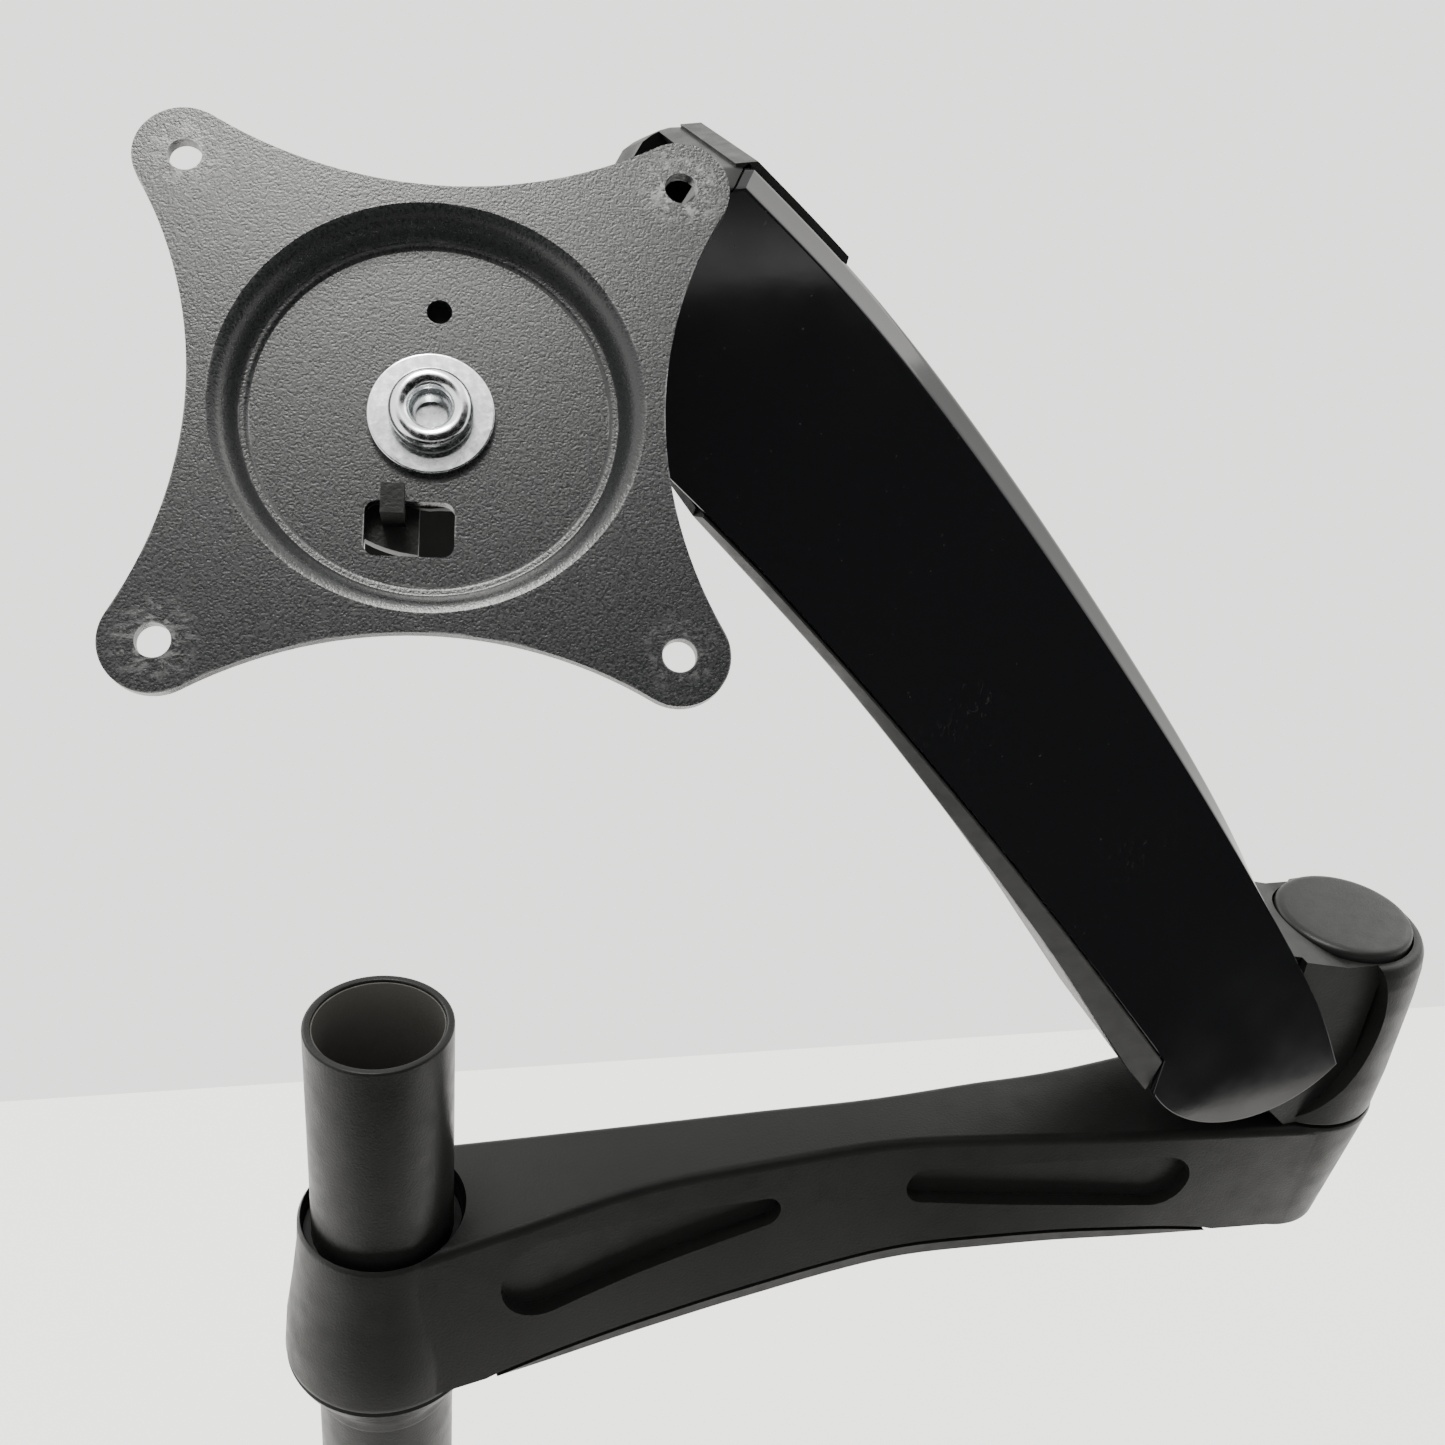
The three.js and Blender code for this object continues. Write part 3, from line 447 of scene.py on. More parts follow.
def satin_paint(name, tone, rough):
    """Satin black paint: a faint orange peel, slight cloudiness, dust, and edges rubbed smoother."""
    s = Surface(name, specular_ior_level=0.16)
    cloud = s.noise(38, 4)
    speck = s.ranged(s.noise(2600, 2), 0.66, 0.72, 0.0, 0.35)
    base = s.mixed(cloud, [c * 0.8 for c in tone], [c * 1.25 for c in tone])
    worn = s.math("MULTIPLY", s.edges(0.0006, 0.25), s.ranged(s.noise(420, 3), 0.5, 0.62, 0.0, 0.4))
    base = s.mixed(s.math("MULTIPLY", speck, 0.25), base, [c * 5 for c in tone])
    s.colour(s.mixed(worn, base, [c * 3.2 for c in tone]))
    s.roughness(s.ranged(s.noise(160, 4), 0.3, 0.7, rough - 0.06, rough + 0.07))
    first = s.bump(s.noise(1500, 2), 0.16, 0.0004)
    s.bump(s.noise(5200, 2), 0.10, 0.0002, first)
    return s.material


def gloss_plastic():
    """Polished black plastic: nearly a mirror, with hairline scratches, small nicks and a little dust."""
    s = Surface("polished_black", specular_ior_level=0.36, coat_weight=0.0)
    hair = s.ranged(s.noise(90, 2, 0.5, (14, 1.2, 5)), 0.648, 0.66, 0.0, 1.0)
    hair_end = s.ranged(s.noise(90, 2, 0.5, (14, 1.2, 5)), 0.66, 0.672, 1.0, 0.0)
    patch = s.ranged(s.noise(23, 3), 0.56, 0.66, 0.0, 1.0)
    scratch = s.math("MULTIPLY", s.math("MULTIPLY", hair, hair_end), patch)
    nick = s.ranged(s.noise(900, 2), 0.74, 0.77, 0.0, 0.6)
    marks = s.math("MAXIMUM", scratch, nick)
    s.colour(s.mixed(marks, (0.0036, 0.0037, 0.0042), (0.022, 0.022, 0.023)))
    haze = s.ranged(s.noise(30, 4), 0.35, 0.7, 0.05, 0.13)
    s.roughness(s.math("ADD", haze, s.math("MULTIPLY", marks, 0.1)))
    s.bump(s.noise(260, 2), 0.006, 0.0005)
    return s.material


def moulded_plastic(name, tone, rough):
    """Black plastic with a fine moulded grain."""
    s = Surface(name, specular_ior_level=0.18)
    s.colour(s.mixed(s.noise(70, 4), [c * 0.75 for c in tone], [c * 1.3 for c in tone]))
    s.roughness(s.ranged(s.noise(240, 3), 0.3, 0.7, rough - 0.05, rough + 0.08))
    first = s.bump(s.noise(3600, 3), 0.22, 0.0002)
    s.bump(s.noise(700, 2), 0.06, 0.0004, first)
    return s.material


def powder_coat():
    """Fine wrinkled powder coat, rubbed and scratched to grey round the screw holes, with painted sheen:
    the grey is strongest round the upper holes, where the light falls, and faintest low down on the
    right.
    """
    s = Surface("powder_coat", specular_ior_level=0.55, metallic=0.0)
    wrinkle = s.noise(2500, 3, 0.55)
    pebble = s.ranged(wrinkle, 0.35, 0.7, 0.0, 1.0)
    tone = s.mixed(pebble, (0.004, 0.0046, 0.0048), (0.0095, 0.0105, 0.0108))
    rim = s.edges(0.0005, 0.2)
    bare = s.ranged(s.noise(650, 4, 0.65), 0.52, 0.6, 0.0, 1.0)
    streak = s.ranged(s.noise(260, 3, 0.6, (1.0, 5.0, 1.6)), 0.55, 0.64, 0.0, 0.8)
    wear_and_sheen = s.math("MULTIPLY", rim, s.ranged(s.noise(170, 3), 0.5, 0.62, 0.0, 0.7))
    # Grey rub round each hole. The strength set for each hole is also painted sheen: high at the upper
    # holes, low at the lower ones, which lie in shade.
    hole_wear_and_sheen = {(-1, 1): 0.6, (1, 1): 0.7, (-1, -1): 0.35, (1, -1): 0.15}
    for (across, up), amount in hole_wear_and_sheen.items():
        spot = PLATE @ Vector((FACE, across * PITCH / 2, up * PITCH / 2))
        ring = s.math("MULTIPLY", s.near(spot, 0.003, 0.0042), amount)
        wear_and_sheen = s.math("MAXIMUM", wear_and_sheen, s.math("MULTIPLY", ring, s.math("MAXIMUM", bare, streak)))
    s.colour(s.mixed(s.math("MULTIPLY", wear_and_sheen, 0.55), tone, (0.30, 0.30, 0.30)))
    s.roughness(s.ranged(pebble, 0.0, 1.0, 0.24, 0.36))
    s.bump(wrinkle, 0.45, 0.00016)
    return s.material


def bright_metal(name, tone, rough, scale=900, stretch=(1, 1, 1)):
    """Plated or drawn metal: fine lines, faint stains and tiny pits."""
    s = Surface(name, metallic=1.0)
    stain = s.noise(260, 4)
    line = s.noise(scale, 3, 0.6, stretch)
    s.colour(s.mixed(stain, [c * 0.82 for c in tone], [min(1.0, c * 1.08) for c in tone]))
    s.roughness(s.ranged(line, 0.3, 0.7, rough - 0.06, rough + 0.1))
    s.bump(line, 0.08, 0.0001)
    return s.material


def pad_rubber():
    s = Surface("pad_rubber", specular_ior_level=0.3)
    s.colour(s.mixed(s.noise(500, 4), (0.012, 0.012, 0.012), (0.028, 0.028, 0.027)))
    s.roughness(s.ranged(s.noise(900, 3), 0.3, 0.7, 0.72, 0.88))
    s.bump(s.noise(1800, 3), 0.35, 0.0003)
    return s.material


PAINT = satin_paint("satin_paint", (0.0052, 0.0056, 0.0052), 0.4)
TUBE_PAINT = satin_paint("tube_paint", (0.0050, 0.0053, 0.0050), 0.36)
GLOSS = gloss_plastic()
COVER = moulded_plastic("moulded_cover", (0.0056, 0.006, 0.0057), 0.4)
CAP = moulded_plastic("moulded_cap", (0.0066, 0.007, 0.0067), 0.36)
NYLON = moulded_plastic("black_nylon", (0.007, 0.007, 0.007), 0.55)
POWDER = powder_coat()
ZINC = bright_metal("bright_zinc", (0.82, 0.84, 0.85), 0.2)
DULL_ZINC = bright_metal("dull_zinc", (0.66, 0.67, 0.68), 0.32)
STEEL = bright_metal("drawn_steel", (0.42, 0.42, 0.43), 0.36, 700, (1, 1, 8))
RUBBER = pad_rubber()
BORE_PAINT = satin_paint("bore_paint", (0.05, 0.048, 0.044), 0.6)
KEPT_FINISHES = {
    "cast_paint": PAINT,
    "frame_paint": PAINT,
    "gloss_cover": GLOSS,
    "matte_cover": COVER,
    "plate_powder_coat": POWDER,
    "zinc_plate": DULL_ZINC,
    "plain_steel": STEEL,
    "nylon": NYLON,
    "pad_rubber": RUBBER,
}


# ---------------------------------------------------------------- desk clamp and pole
def base_plate():
    outline = [(42, 35.7), (-42, 35.7)]
    outline += arc((-28, -38), 14, 180, 270, 12) + arc((28, -38), 14, 270, 360, 12)
    plate = slab(outline, 2, 9.7)
    sink = lathe([(0, 0), (10.4, 0), (10.4, 5.5), (5.3, 8), (5.3, 14), (0, 14)], 48)
    holes = [rod(3.1, 20, 40, "y", (x, 6), 32) for x in (-15, 15)]
    softened(cut(plate, sink, *holes), 0.9)
    placed(plate, "foot_plate", DESK, "base", PAINT, ["base_plate"])


def desk_pad():
    outline = [(-40, 33), (-40, -36), (-28, -48), (28, -48), (40, -36), (40, 33)]
    pad = softened(slab(outline, 0, 1.7), 0.4, 2)
    placed(pad, "foot_pad", DESK, "base", RUBBER, ["desk_pad"])


def pole():
    """The painted tube, and a thin lining for its lighter bore."""
    bore = 15.5
    profile = [(bore, 10), (POLE_RADIUS, 10), (POLE_RADIUS, POLE_TOP), (bore, POLE_TOP)]
    tube = lathe(rounded(profile, 0.7), 128)
    placed(tube, "pole_tube", DESK, "base", TUBE_PAINT, ["pole"])
    low, high = 120, POLE_TOP - 0.8
    inside, outside = bore - 0.3, bore + 0.2
    sleeve = [(inside, low), (outside, low), (outside, high), (inside, high)]
    lining = lathe(rounded(sleeve, 0.1), 128)
    placed(lining, "pole_lining", DESK, "base", BORE_PAINT, ["pole"])


def clamp_bracket():
    outline = [(42, 9.7), (36, 9.7), (36, -60)]
    outline += arc((32, -60), 4, 0, -90, 8)
    outline += [(-20, -64), (-20, -72)]
    outline += arc((34, -64), 8, 270, 360, 10)
    side = slab(outline, -26, 26, "x")
    rib = slab([(38, -45), (38, -66), (14, -66)], -3, 3, "x")
    bracket = joined(side, rib)
    holes = [rod(3.1, 30, 50, "y", (x, 6), 32) for x in (-15, 15)]
    corners = [slab([(x, -21), (x, -9), (x * 0.6, -21)], -80, -60) for x in (-27, 27)]
    softened(cut(bracket, rod(9.1, -80, -60), *holes, *corners), 1.0)
    placed(bracket, "clamp_bracket_bent", DESK, "base", PAINT, ["clamp_bracket"])


def socket_screw(radius, head, shank_radius, shank, key):
    """A round-headed screw along Z with a hexagonal socket, its head from 0 up."""
    profile = [(0, -shank), (shank_radius, -shank), (shank_radius, 0)]
    profile += [(radius, 0), (radius, head), (0, head)]
    body = lathe(rounded(profile, 0.5), 48)
    return cut(body, slab(circle(key, segments=6), head * 0.35, head + 1))


def bracket_screws():
    for side, node in ((-1, "bracket_screw_left"), (1, "bracket_screw_right")):
        screw = socket_screw(5, 3.1, 3, 20, 2.2)
        screw.data.transform(Matrix.Rotation(-math.pi / 2, 4, "X"))
        moved(screw, (15 * side, 42.35, 6))
        placed(screw, node + "_detail", DESK, "base", DULL_ZINC, [node])


def threaded(radius, depth, pitch, low, high, segments=32):
    """A screw thread along Z, as one helical skin."""
    rows = int((high - low) / pitch * 6)
    rings = []
    for row in range(rows + 1):
        z = low + (high - low) * row / rows
        ring = []
        for i in range(segments):
            turn = (z / pitch - i / segments) % 1
            here = radius - depth * (1 - abs(2 * turn - 1))
            angle = 2 * math.pi * i / segments
            ring.append((here * math.cos(angle), here * math.sin(angle), z))
        rings.append(ring)
    return loft(rings)


def clamp_screw():
    stem = threaded(5, 0.9, 2, -106, -36)
    profile = [(0, -124), (9, -124), (10, -122), (10, -108), (8, -105), (0, -105)]
    hub = lathe(rounded(profile, 1.2), 64)
    cut(hub, rod(4.1, -20, 20, "x", (0, -115), 40))
    neck = lathe([(0, -37), (5, -37), (5, -35.5), (3, -35.5), (3, -31.5), (0, -31.5)], 48)
    for obj, name in ((stem, "screw_thread"), (hub, "screw_hub"), (neck, "screw_nose")):
        placed(obj, name, DESK, "clamp_screw", DULL_ZINC, ["clamp_screw"])


def clamp_handle():
    end = [(4, 32.2)] + [(6 * math.cos(a), 38 + 6 * math.sin(a)) for a in spaced(-1.0, 1.4, 10)]
    half = [(0, 44)] + [(r, z) for r, z in reversed(end)]
    profile = half + [(r, -z) for r, z in reversed(half)]
    handle = lathe(profile, 48)
    handle.data.transform(Matrix.Rotation(math.pi / 2, 4, "Y"))
    moved(handle, (0, 0, -115))
    placed(handle, "clamp_bar", DESK, "clamp_screw", DULL_ZINC, ["clamp_handle"])


def clamp_pad():
    profile = [(0, -31), (3.1, -31), (3.1, -35), (9, -35)]
    profile += [(21, -34), (21, -30.6), (20.3, -30), (0, -30)]
    pad = lathe(rounded(profile, 0.5), 96)
    placed(pad, "clamp_foot", DESK, "clamp_pad", COVER, ["clamp_pad"])


def jaw_nut():
    profile = [(5.15, -72), (9, -72), (9, -63.7), (12, -63.7), (12, -61), (5.15, -61)]
    nut = lathe(rounded(profile, 0.5, 3), 64)
    placed(nut, "jaw_insert", DESK, "base", DULL_ZINC, ["jaw_nut"])


def stop_collar():
    low, high = 238, 254.6
    bore = POLE_RADIUS + 0.1
    outside = smooth([
        (low, 18.1), (242, 18.6), (245, 20.1), (248.5, 22.6), (251.2, 24.2), (253.6, 25.2)])
    wall = [(outside(z), z) for z in spaced(238.2, 253.6, 20)]
    profile = [(bore + 0.2, low), (17.95, low), *wall, (24.8, high)]
    profile += [(bore + 0.3, high), (bore, 254.2), (bore, 238.3)]
    collar = lathe(profile, 128)
    cut(collar, rod(2.1, 10, 30, "y", (0, COLLAR_SCREW_Z), 40))
    placed(collar, "collar_ring", DESK, "collar", PAINT, ["stop_collar"])


def collar_screw():
    screw = rod(2, POLE_RADIUS + 0.15, 22.4, "y", (0, COLLAR_SCREW_Z), 40)
    cut(screw, slab(circle(1.1, (0, COLLAR_SCREW_Z), 6), 20, 24, "y"))
    placed(screw, "collar_grub", DESK, "collar", STEEL, ["collar_screw"])


# ---------------------------------------------------------------- lower arm
# Half width, top, widening towards the bottom, and bottom, by distance from the pole.
LOWER_HALF = smooth([
    (0, 20.6), (32, 16.3), (65, 12), (100, 10.4), (134, 9.6), (165, 12), (200, 15.2), (265, 23.4)])
LOWER_TOP = smooth([
    (0, 0), (32, 2.7), (65, 5.5), (100, 5.7), (134, 5), (165, 3), (200, 0.4), (265, -0.6)])
LOWER_FLARE = smooth([(0, 4), (134, 3.6), (200, 2), (265, -5.2)])
LOWER_BOTTOM = smooth([
    (0, -45), (41, -44.3), (67, -42.8), (92, -39.6), (115, -37),
    (146, -34.8), (179, -35.4), (214, -38.8), (265, -45)])
COVER_DEPTH = smooth([(24, 0.6), (45, 3), (90, 4), (170, 4), (215, 3), (238, 0.6)])
COVER_FROM, COVER_TO = 24, 238
COVER_SCREWS = (58, 210)


def arm_ring(x, top, bottom, half_top, half_bottom, fillet):
    """One rounded section of the lower arm."""
    side = [(half_bottom - 1, bottom), (half_bottom, bottom + 1)]
    side += [(half_top - fillet + fillet * math.cos(a), top - fillet + fillet * math.sin(a))
             for a in spaced(0, math.pi / 2, 4)]
    far = [(x, y, z) for y, z in side]
    near = [(x, -y, z) for y, z in reversed(side)]
    return far + near


def finger_groove(first, last, first_radius, last_radius):
    """A long recess in each side of the arm, its floor a set depth inside the arm's own side."""
    depth = 3.8
    rings = []
    for x in spaced(-5, LOWER_LENGTH + 5, 60):
        half = LOWER_HALF(x) - depth
        rings.append(arm_ring(x, 20, -60, half, half + LOWER_FLARE(x), 1))
    return cut(slab(bar(first, last, first_radius, last_radius), -40, 40, "y"), loft(rings))


def lower_arm():
    elbow = (LOWER_LENGTH, 0)
    hub = lathe([
        (0, -45), (25.2, -45), (25.4, -43.5), (24.6, -33), (22.8, -21),
        (21.2, -8), (20.9, -1.2), (20.2, 0), (0, 0)])
    socket = [(0, -45), (17.6, -45), (18.2, -44.2), (23.6, -1.6), (23.2, -0.6), (0, -0.6)]
    end = lathe(socket, 96, elbow)
    rings = []
    for x in spaced(0, LOWER_LENGTH, 80):
        lift = COVER_DEPTH(x) if COVER_FROM < x < COVER_TO else 0
        half = LOWER_HALF(x)
        low = LOWER_BOTTOM(x) + lift
        rings.append(arm_ring(x, LOWER_TOP(x), low, half, half + LOWER_FLARE(x), 2.4))
    arm = joined(loft(rings), hub, end)
    cut(arm, finger_groove((38.5, -15.3), (98, -10.3), 11.7, 4.5),
        finger_groove((144.5, -10.5), (215.5, -17.5), 5.6, 9.1))
    softened(arm, 1.6, 5, 34)
    bores = [
        lathe([(0, -60), (19.75, -60), (19.75, -0.7), (20.6, 1), (20.6, 5), (0, 5)]),
        rod(9.1, -60, 5, "z", elbow),
        rod(13, -60, -30, "z", elbow),
        rod(20.3, -0.9, 5, "z", elbow, 96),
    ]
    cut(arm, *bores)
    placed(arm, "lower_arm_casting", LOWER, "lower_arm", PAINT, ["lower_arm"])


def bottom_cover():
    rings = []
    for x in spaced(COVER_FROM + 2, COVER_TO - 2, 60):
        half = LOWER_HALF(x) + LOWER_FLARE(x)
        low = LOWER_BOTTOM(x)
        high = low + COVER_DEPTH(x) - 0.3
        rings.append([(x, half - 1.2, low), (x, half - 0.3, low + 0.3), (x, half, high),
                      (x, -half, high), (x, -half + 0.3, low + 0.3), (x, -half + 1.2, low)])
    cover = loft(rings)
    for x in COVER_SCREWS:
        seat = rod(3.4, -60, LOWER_BOTTOM(x) + 2, "z", (x, 0), 48)
        cut(cover, rod(1.8, -60, -20, "z", (x, 0), 32), seat)
    placed(cover, "lower_cover", LOWER, "lower_arm", COVER, ["bottom_cover"])


def cover_screws():
    long, narrow, deep = (-1.9, 1.9), (-0.4, 0.4), (-0.9, 1)
    profile = [(0, -24), (1.5, -24), (1.5, -1.6), (3, -1.6), (2.6, -0.2), (0, 0)]
    for x, node in zip(COVER_SCREWS, ("cover_screw_inner", "cover_screw_outer")):
        screw = lathe(rounded(profile, 0.2, 3), 40)
        cut(screw, block(long, narrow, deep), block(narrow, long, deep))
        screw.data.transform(Matrix.Rotation(math.pi, 4, "X") @ Matrix.Diagonal((1, 1, 0.5, 1)))
        moved(screw, (x, 0, LOWER_BOTTOM(x) + 0.2))
        placed(screw, node + "_detail", LOWER, "lower_arm", DULL_ZINC, [node])


# ---------------------------------------------------------------- elbow
def knuckle():
    panel, wall, radius, land_half = 17.4, 4, 23.9, 19.7
    hinge = (HINGE_X, HINGE_Z)
    profile = [(0, 0.5), (radius - 0.6, 0.5), (radius, 14), (radius, 40), (radius - 0.4, 49)]
    profile += [(radius - 1.0, 53), (radius - 2.0, 54.9), (radius - 3.2, 55.5), (0, 55.5)]
    post = lathe(rounded(profile, 0.7, 3), 128)
    outline = [(0, 0.5), (16, 0.5), (28, 12.5)]
    outline += arc((38, 31), 21, -111.6, 9, 24)
    outline += [(54, 52), (34, 62), (12, 56), (0, 55.5)]
    body = joined(post, slab(outline, -panel, panel, "y"))
    sweep = circle(44, (41.8, 35.5), 160)
    cut(body, *both_sides(sweep, panel, panel + 12))
    land = slab(outline, -land_half, land_half, "y")
    combined(land, [block((-30, 26.5), (-30, 30), (-5, 80))], "INTERSECT")
    joined(body, cut(land, rod(15, -30, 30, "y", hinge, 96)))
    softened(body, 0.6, 3, 30)
    cut(body, block((32, 80), (-panel + wall, panel - wall), (4, 80)), rod(8, -5, 47))
    cut(body, lathe([(0, 50), (19.4, 50), (19.4, 70), (0, 70)], 128))
    cut(body, rod(5.1, -30, 30, "y", hinge, 48))
    cut(body, rod(4.1, -30, 30, "y", (HINGE_X + LINK_X, HINGE_Z + LINK_Z), 48))
    placed(body, "knuckle_casting", ELBOW, "knuckle", PAINT, ["knuckle"])


def knuckle_cap():
    dome = [(18.8, 56.2), (18.7, 57.2), (18.3, 57.9), (17.5, 58.35)]
    dome += [(16.3, 58.6), (12, 58.72), (6, 58.78), (0, 58.8)]
    cap = lathe([(0, 50.3), (18.8, 50.3), *dome], 128)
    placed(cap, "elbow_cap", ELBOW, "knuckle", CAP, ["knuckle_cap"])


# ---------------------------------------------------------------- upper arm
# Heights by distance from the lift hinge towards the head.
COVER_TOP = smooth([
    (-33.5, 8.8), (-5, 14.4), (49.6, 19.2), (111, 22.4), (180, 23.6), (234, 21.9), (277, 16.4)])
COVER_LOW = smooth([
    (13, -27), (63, -24.6), (107, -23.1), (153, -22.4), (192, -22.7), (219, -23.6), (266, -27)])
TRAY_LOW = smooth([
    (13, -36.2), (41, -33.4), (75, -30.2), (125, -27.2), (175, -25.4), (226, -26.2)])
BEVEL = 3.7
BEVEL_RISE = smooth([(41, 0), (52, 1.6), (90, 3), (180, BEVEL), (277, BEVEL)])
COVER_HALF = 22
COVER_WALL = 2
TOP_START = 42
COVER_END, NOSE = 274.3, 5
CAP_FROM = COVER_END - 3.6
CAP_HALF = 17.4


def rise(x):
    return BEVEL_RISE(x) if x > 41 else 0


def cover_ring(y, share, inset):
    """The cover's outline at one width, with a share of the bevel's height."""
    bottom = [(x, y, COVER_LOW(x) + inset) for x in spaced(13, 262, 40)]
    crest = COVER_TOP(COVER_END) + share * BEVEL - inset
    nose = [(COVER_END - back - inset, y, crest - drop)
            for back, drop in ((0, 9), (0.2, 6.8), (0.7, 4.9), (1.5, 3.2), (2.6, 1.8), (3.8, 0.7))]
    top = nose + [(x, y, COVER_TOP(x) + share * rise(x) - inset)
                  for x in spaced(COVER_END - NOSE, -33.5, 60)]
    heel = [(x, y, z) for x, z in arc((0, 0), 35.3 - inset, 166, 278, 40)]
    return bottom + top + heel


def cover_shell():
    """The hollow cover, nose included. Its section gives [half width, share of bevel, inset]."""
    section = [
        (COVER_HALF, 0, 0.5), (21.93, 0.0, 0.22), (21.7, 0.03, 0.05), (21.3, 0.12, 0), (20, 0.43, 0),
        (18.6, 0.8, 0), (18.1, 0.92, 0), (17.5, 0.985, 0), (16.6, 1, 0)]
    rings = [cover_ring(-y, share, inset) for y, share, inset in section]
    rings += [cover_ring(y, share, inset) for y, share, inset in reversed(section)]
    shell = loft(rings)
    inner = COVER_HALF - COVER_WALL
    ceiling = [(x, COVER_TOP(x) + rise(x) - 2 * COVER_WALL) for x in spaced(300, TOP_START, 50)]
    hollow = slab([(TOP_START, -60), (300, -60), *ceiling], -inner, inner, "y")
    combined(hollow, [block((COVER_END - 3, 310), (-30, 30), (-70, 60))], "DIFFERENCE")
    lintel = COVER_TOP(COVER_END) + BEVEL - 5.5
    mouth = block((COVER_END - 4, 310), (-CAP_HALF, CAP_HALF), (-70, lintel))
    cut(shell, hollow, mouth, block((-60, TOP_START + 0.01), (-inner, inner), (-60, 60)))
    return shell


def top_cover():
    beyond = block((CAP_FROM - 0.3, 310), (-30, 30), (-60, 60))
    shell = cut(cover_shell(), beyond)
    softened(shell, 0.25, 2, 60)
    placed(shell, "upper_cover", LIFT, "upper_arm", GLOSS, ["top_cover"], 30)


def underside_cover():
    rings = []
    for x in spaced(13, 226, 60):
        rim = COVER_LOW(x) - 0.3
        floor = min(TRAY_LOW(x), rim - 1.5)
        back = 5 if x == 13 else x
        sill = min(floor + 1.8, rim - 0.4)
        lip = rim + 1.8
        side = [
            (back, 19.4, floor + 0.3), (x, 21.8, rim - 0.5), (x, 21.5, rim), (x, 19.7, rim),
            (x, 19.7, lip), (x, 18.7, lip), (x, 18.2, rim - 0.2), (back + 0.6, 18, sill)]
        other = [(along, -y, z) for along, y, z in reversed(side)]
        rings.append([(back, -18.6, floor), (back, 18.6, floor), *side, *other])
    placed(loft(rings), "lower_tray", LIFT, "upper_arm", COVER, ["underside_cover"])


def front_cap():
    end = COVER_END - NOSE
    under = [(x, COVER_TOP(x) + BEVEL - 0.3) for x in spaced(244, end, 20)]
    over = [(x, COVER_TOP(x) + BEVEL + 1.2) for x in spaced(end + 0.4, 245, 20)]
    crest = COVER_TOP(end) + BEVEL
    foot = [(CAP_FROM - 0.2, crest - 0.3), (CAP_FROM, crest - 3), (CAP_FROM + 1.4, crest - 2.2)]
    ring = cut(cover_shell(), block((-100, CAP_FROM), (-30, 30), (-60, 60)))
    strip = joined(slab([*under, *foot, *over], -CAP_HALF, CAP_HALF, "y"), ring)
    softened(strip, 0.4, 3, 40)
    placed(strip, "tip_strip", LIFT, "upper_arm", COVER, ["front_cap"])


def arm_channel():
    inner, outer = 17.8, 19.6
    cheek = bar((0, 0), (LIFT_LENGTH, 0), 14.2, 13, 32)
    bridge = block((50, 222), (-outer, outer), (12.4, 14.4))
    frame_part = joined(*both_sides(cheek, inner, outer), bridge)
    bores = [rod(5.3, -30, 30, "y")]
    bores += [rod(4.3, -30, 30, "y", eye) for eye in ((LIFT_LENGTH, 0), STRUT_EYE)]
    windows = [slab(bar((x, 2), (x + 26, 2), 4.5, 4.5), -30, 30, "y") for x in (40, 90, 192)]
    softened(cut(frame_part, *bores, *windows), 0.4, 2)
    placed(frame_part, "channel_frame", LIFT, "upper_arm", STEEL, ["arm_channel"])


# ---------------------------------------------------------------- levelling link and gas strut
def level_link():
    low, high = 4.5, 9.5
    front = (LIFT_LENGTH, 0)
    link = slab(bar((0, 0), front, 4, 4), low, high, "y")
    joined(link, rod(7, low, high, "y"), rod(7, low, high, "y", front))
    cut(link, rod(4.1, 0, 20, "y"), rod(3.8, 0, 20, "y", front))
    placed(softened(link, 0.5), "link_bar", LINK, "level_link", STEEL, ["level_link"])


def along_strut(profile, segments=64):
    """A turned piece along the strut, from [radius, distance] points."""
    made = lathe(profile, segments)
    made.data.transform(Matrix.Rotation(math.pi / 2, 4, "Y"))
    return moved(made, (0, STRUT_SIDE, 0))


def strut_cylinder():
    gland = [(3.6, 62), (6.6, 62), (6.6, 63), (7.1, 64.4)]
    body = [(STRUT_RADIUS, 66), (STRUT_RADIUS, 156), (6.4, 158), (0, 158)]
    tube = along_strut(rounded([(0, 142), (3.6, 142), *gland, *body], 0.5, 3))
    low, high = STRUT_SIDE - 4, STRUT_SIDE + 4
    neck = slab(bar((152, 0), (STRUT_LENGTH, 0), 4, 7.9), low, high, "y")
    cut(joined(tube, neck), rod(4.1, -30, 30, "y", (STRUT_LENGTH, 0)))
    softened(tube, 0.4)
    placed(tube, "strut_tube", STRUT, "strut_cylinder", TUBE_PAINT, ["strut_cylinder"])


def strut_rod():
    low, high = STRUT_SIDE - 4, STRUT_SIDE + 4
    boss = along_strut([(0, 5), (4.6, 5), (4.6, 14), (3.4, 15), (0, 15)], 48)
    eye = joined(rod(8, low, high, "y"), boss)
    softened(cut(eye, rod(4 + EYE_PLAY, -30, 30, "y")), 0.5)
    shaft = along_strut([(0, 14.8), (ROD_RADIUS, 14.8), (ROD_RADIUS, 118), (0, 118)], 48)
    placed(eye, "strut_eye", STRUT, "strut_rod", DULL_ZINC, ["strut_rod"])
    placed(shaft, "strut_shaft", STRUT, "strut_rod", ZINC, ["strut_rod"])


# ---------------------------------------------------------------- head
def hexagon_nut(radius, low, high, bore):
    """A nut with its corners turned off at both ends."""
    nut = slab(circle(radius, segments=6), low, high)
    trim = radius * 0.93
    drum = [(0, low), (trim, low), (radius, low + 1), (radius, high - 1), (trim, high), (0, high)]
    combined(nut, [lathe(drum, 48)], "INTERSECT")
    return cut(nut, rod(bore, low - 5, high + 5))


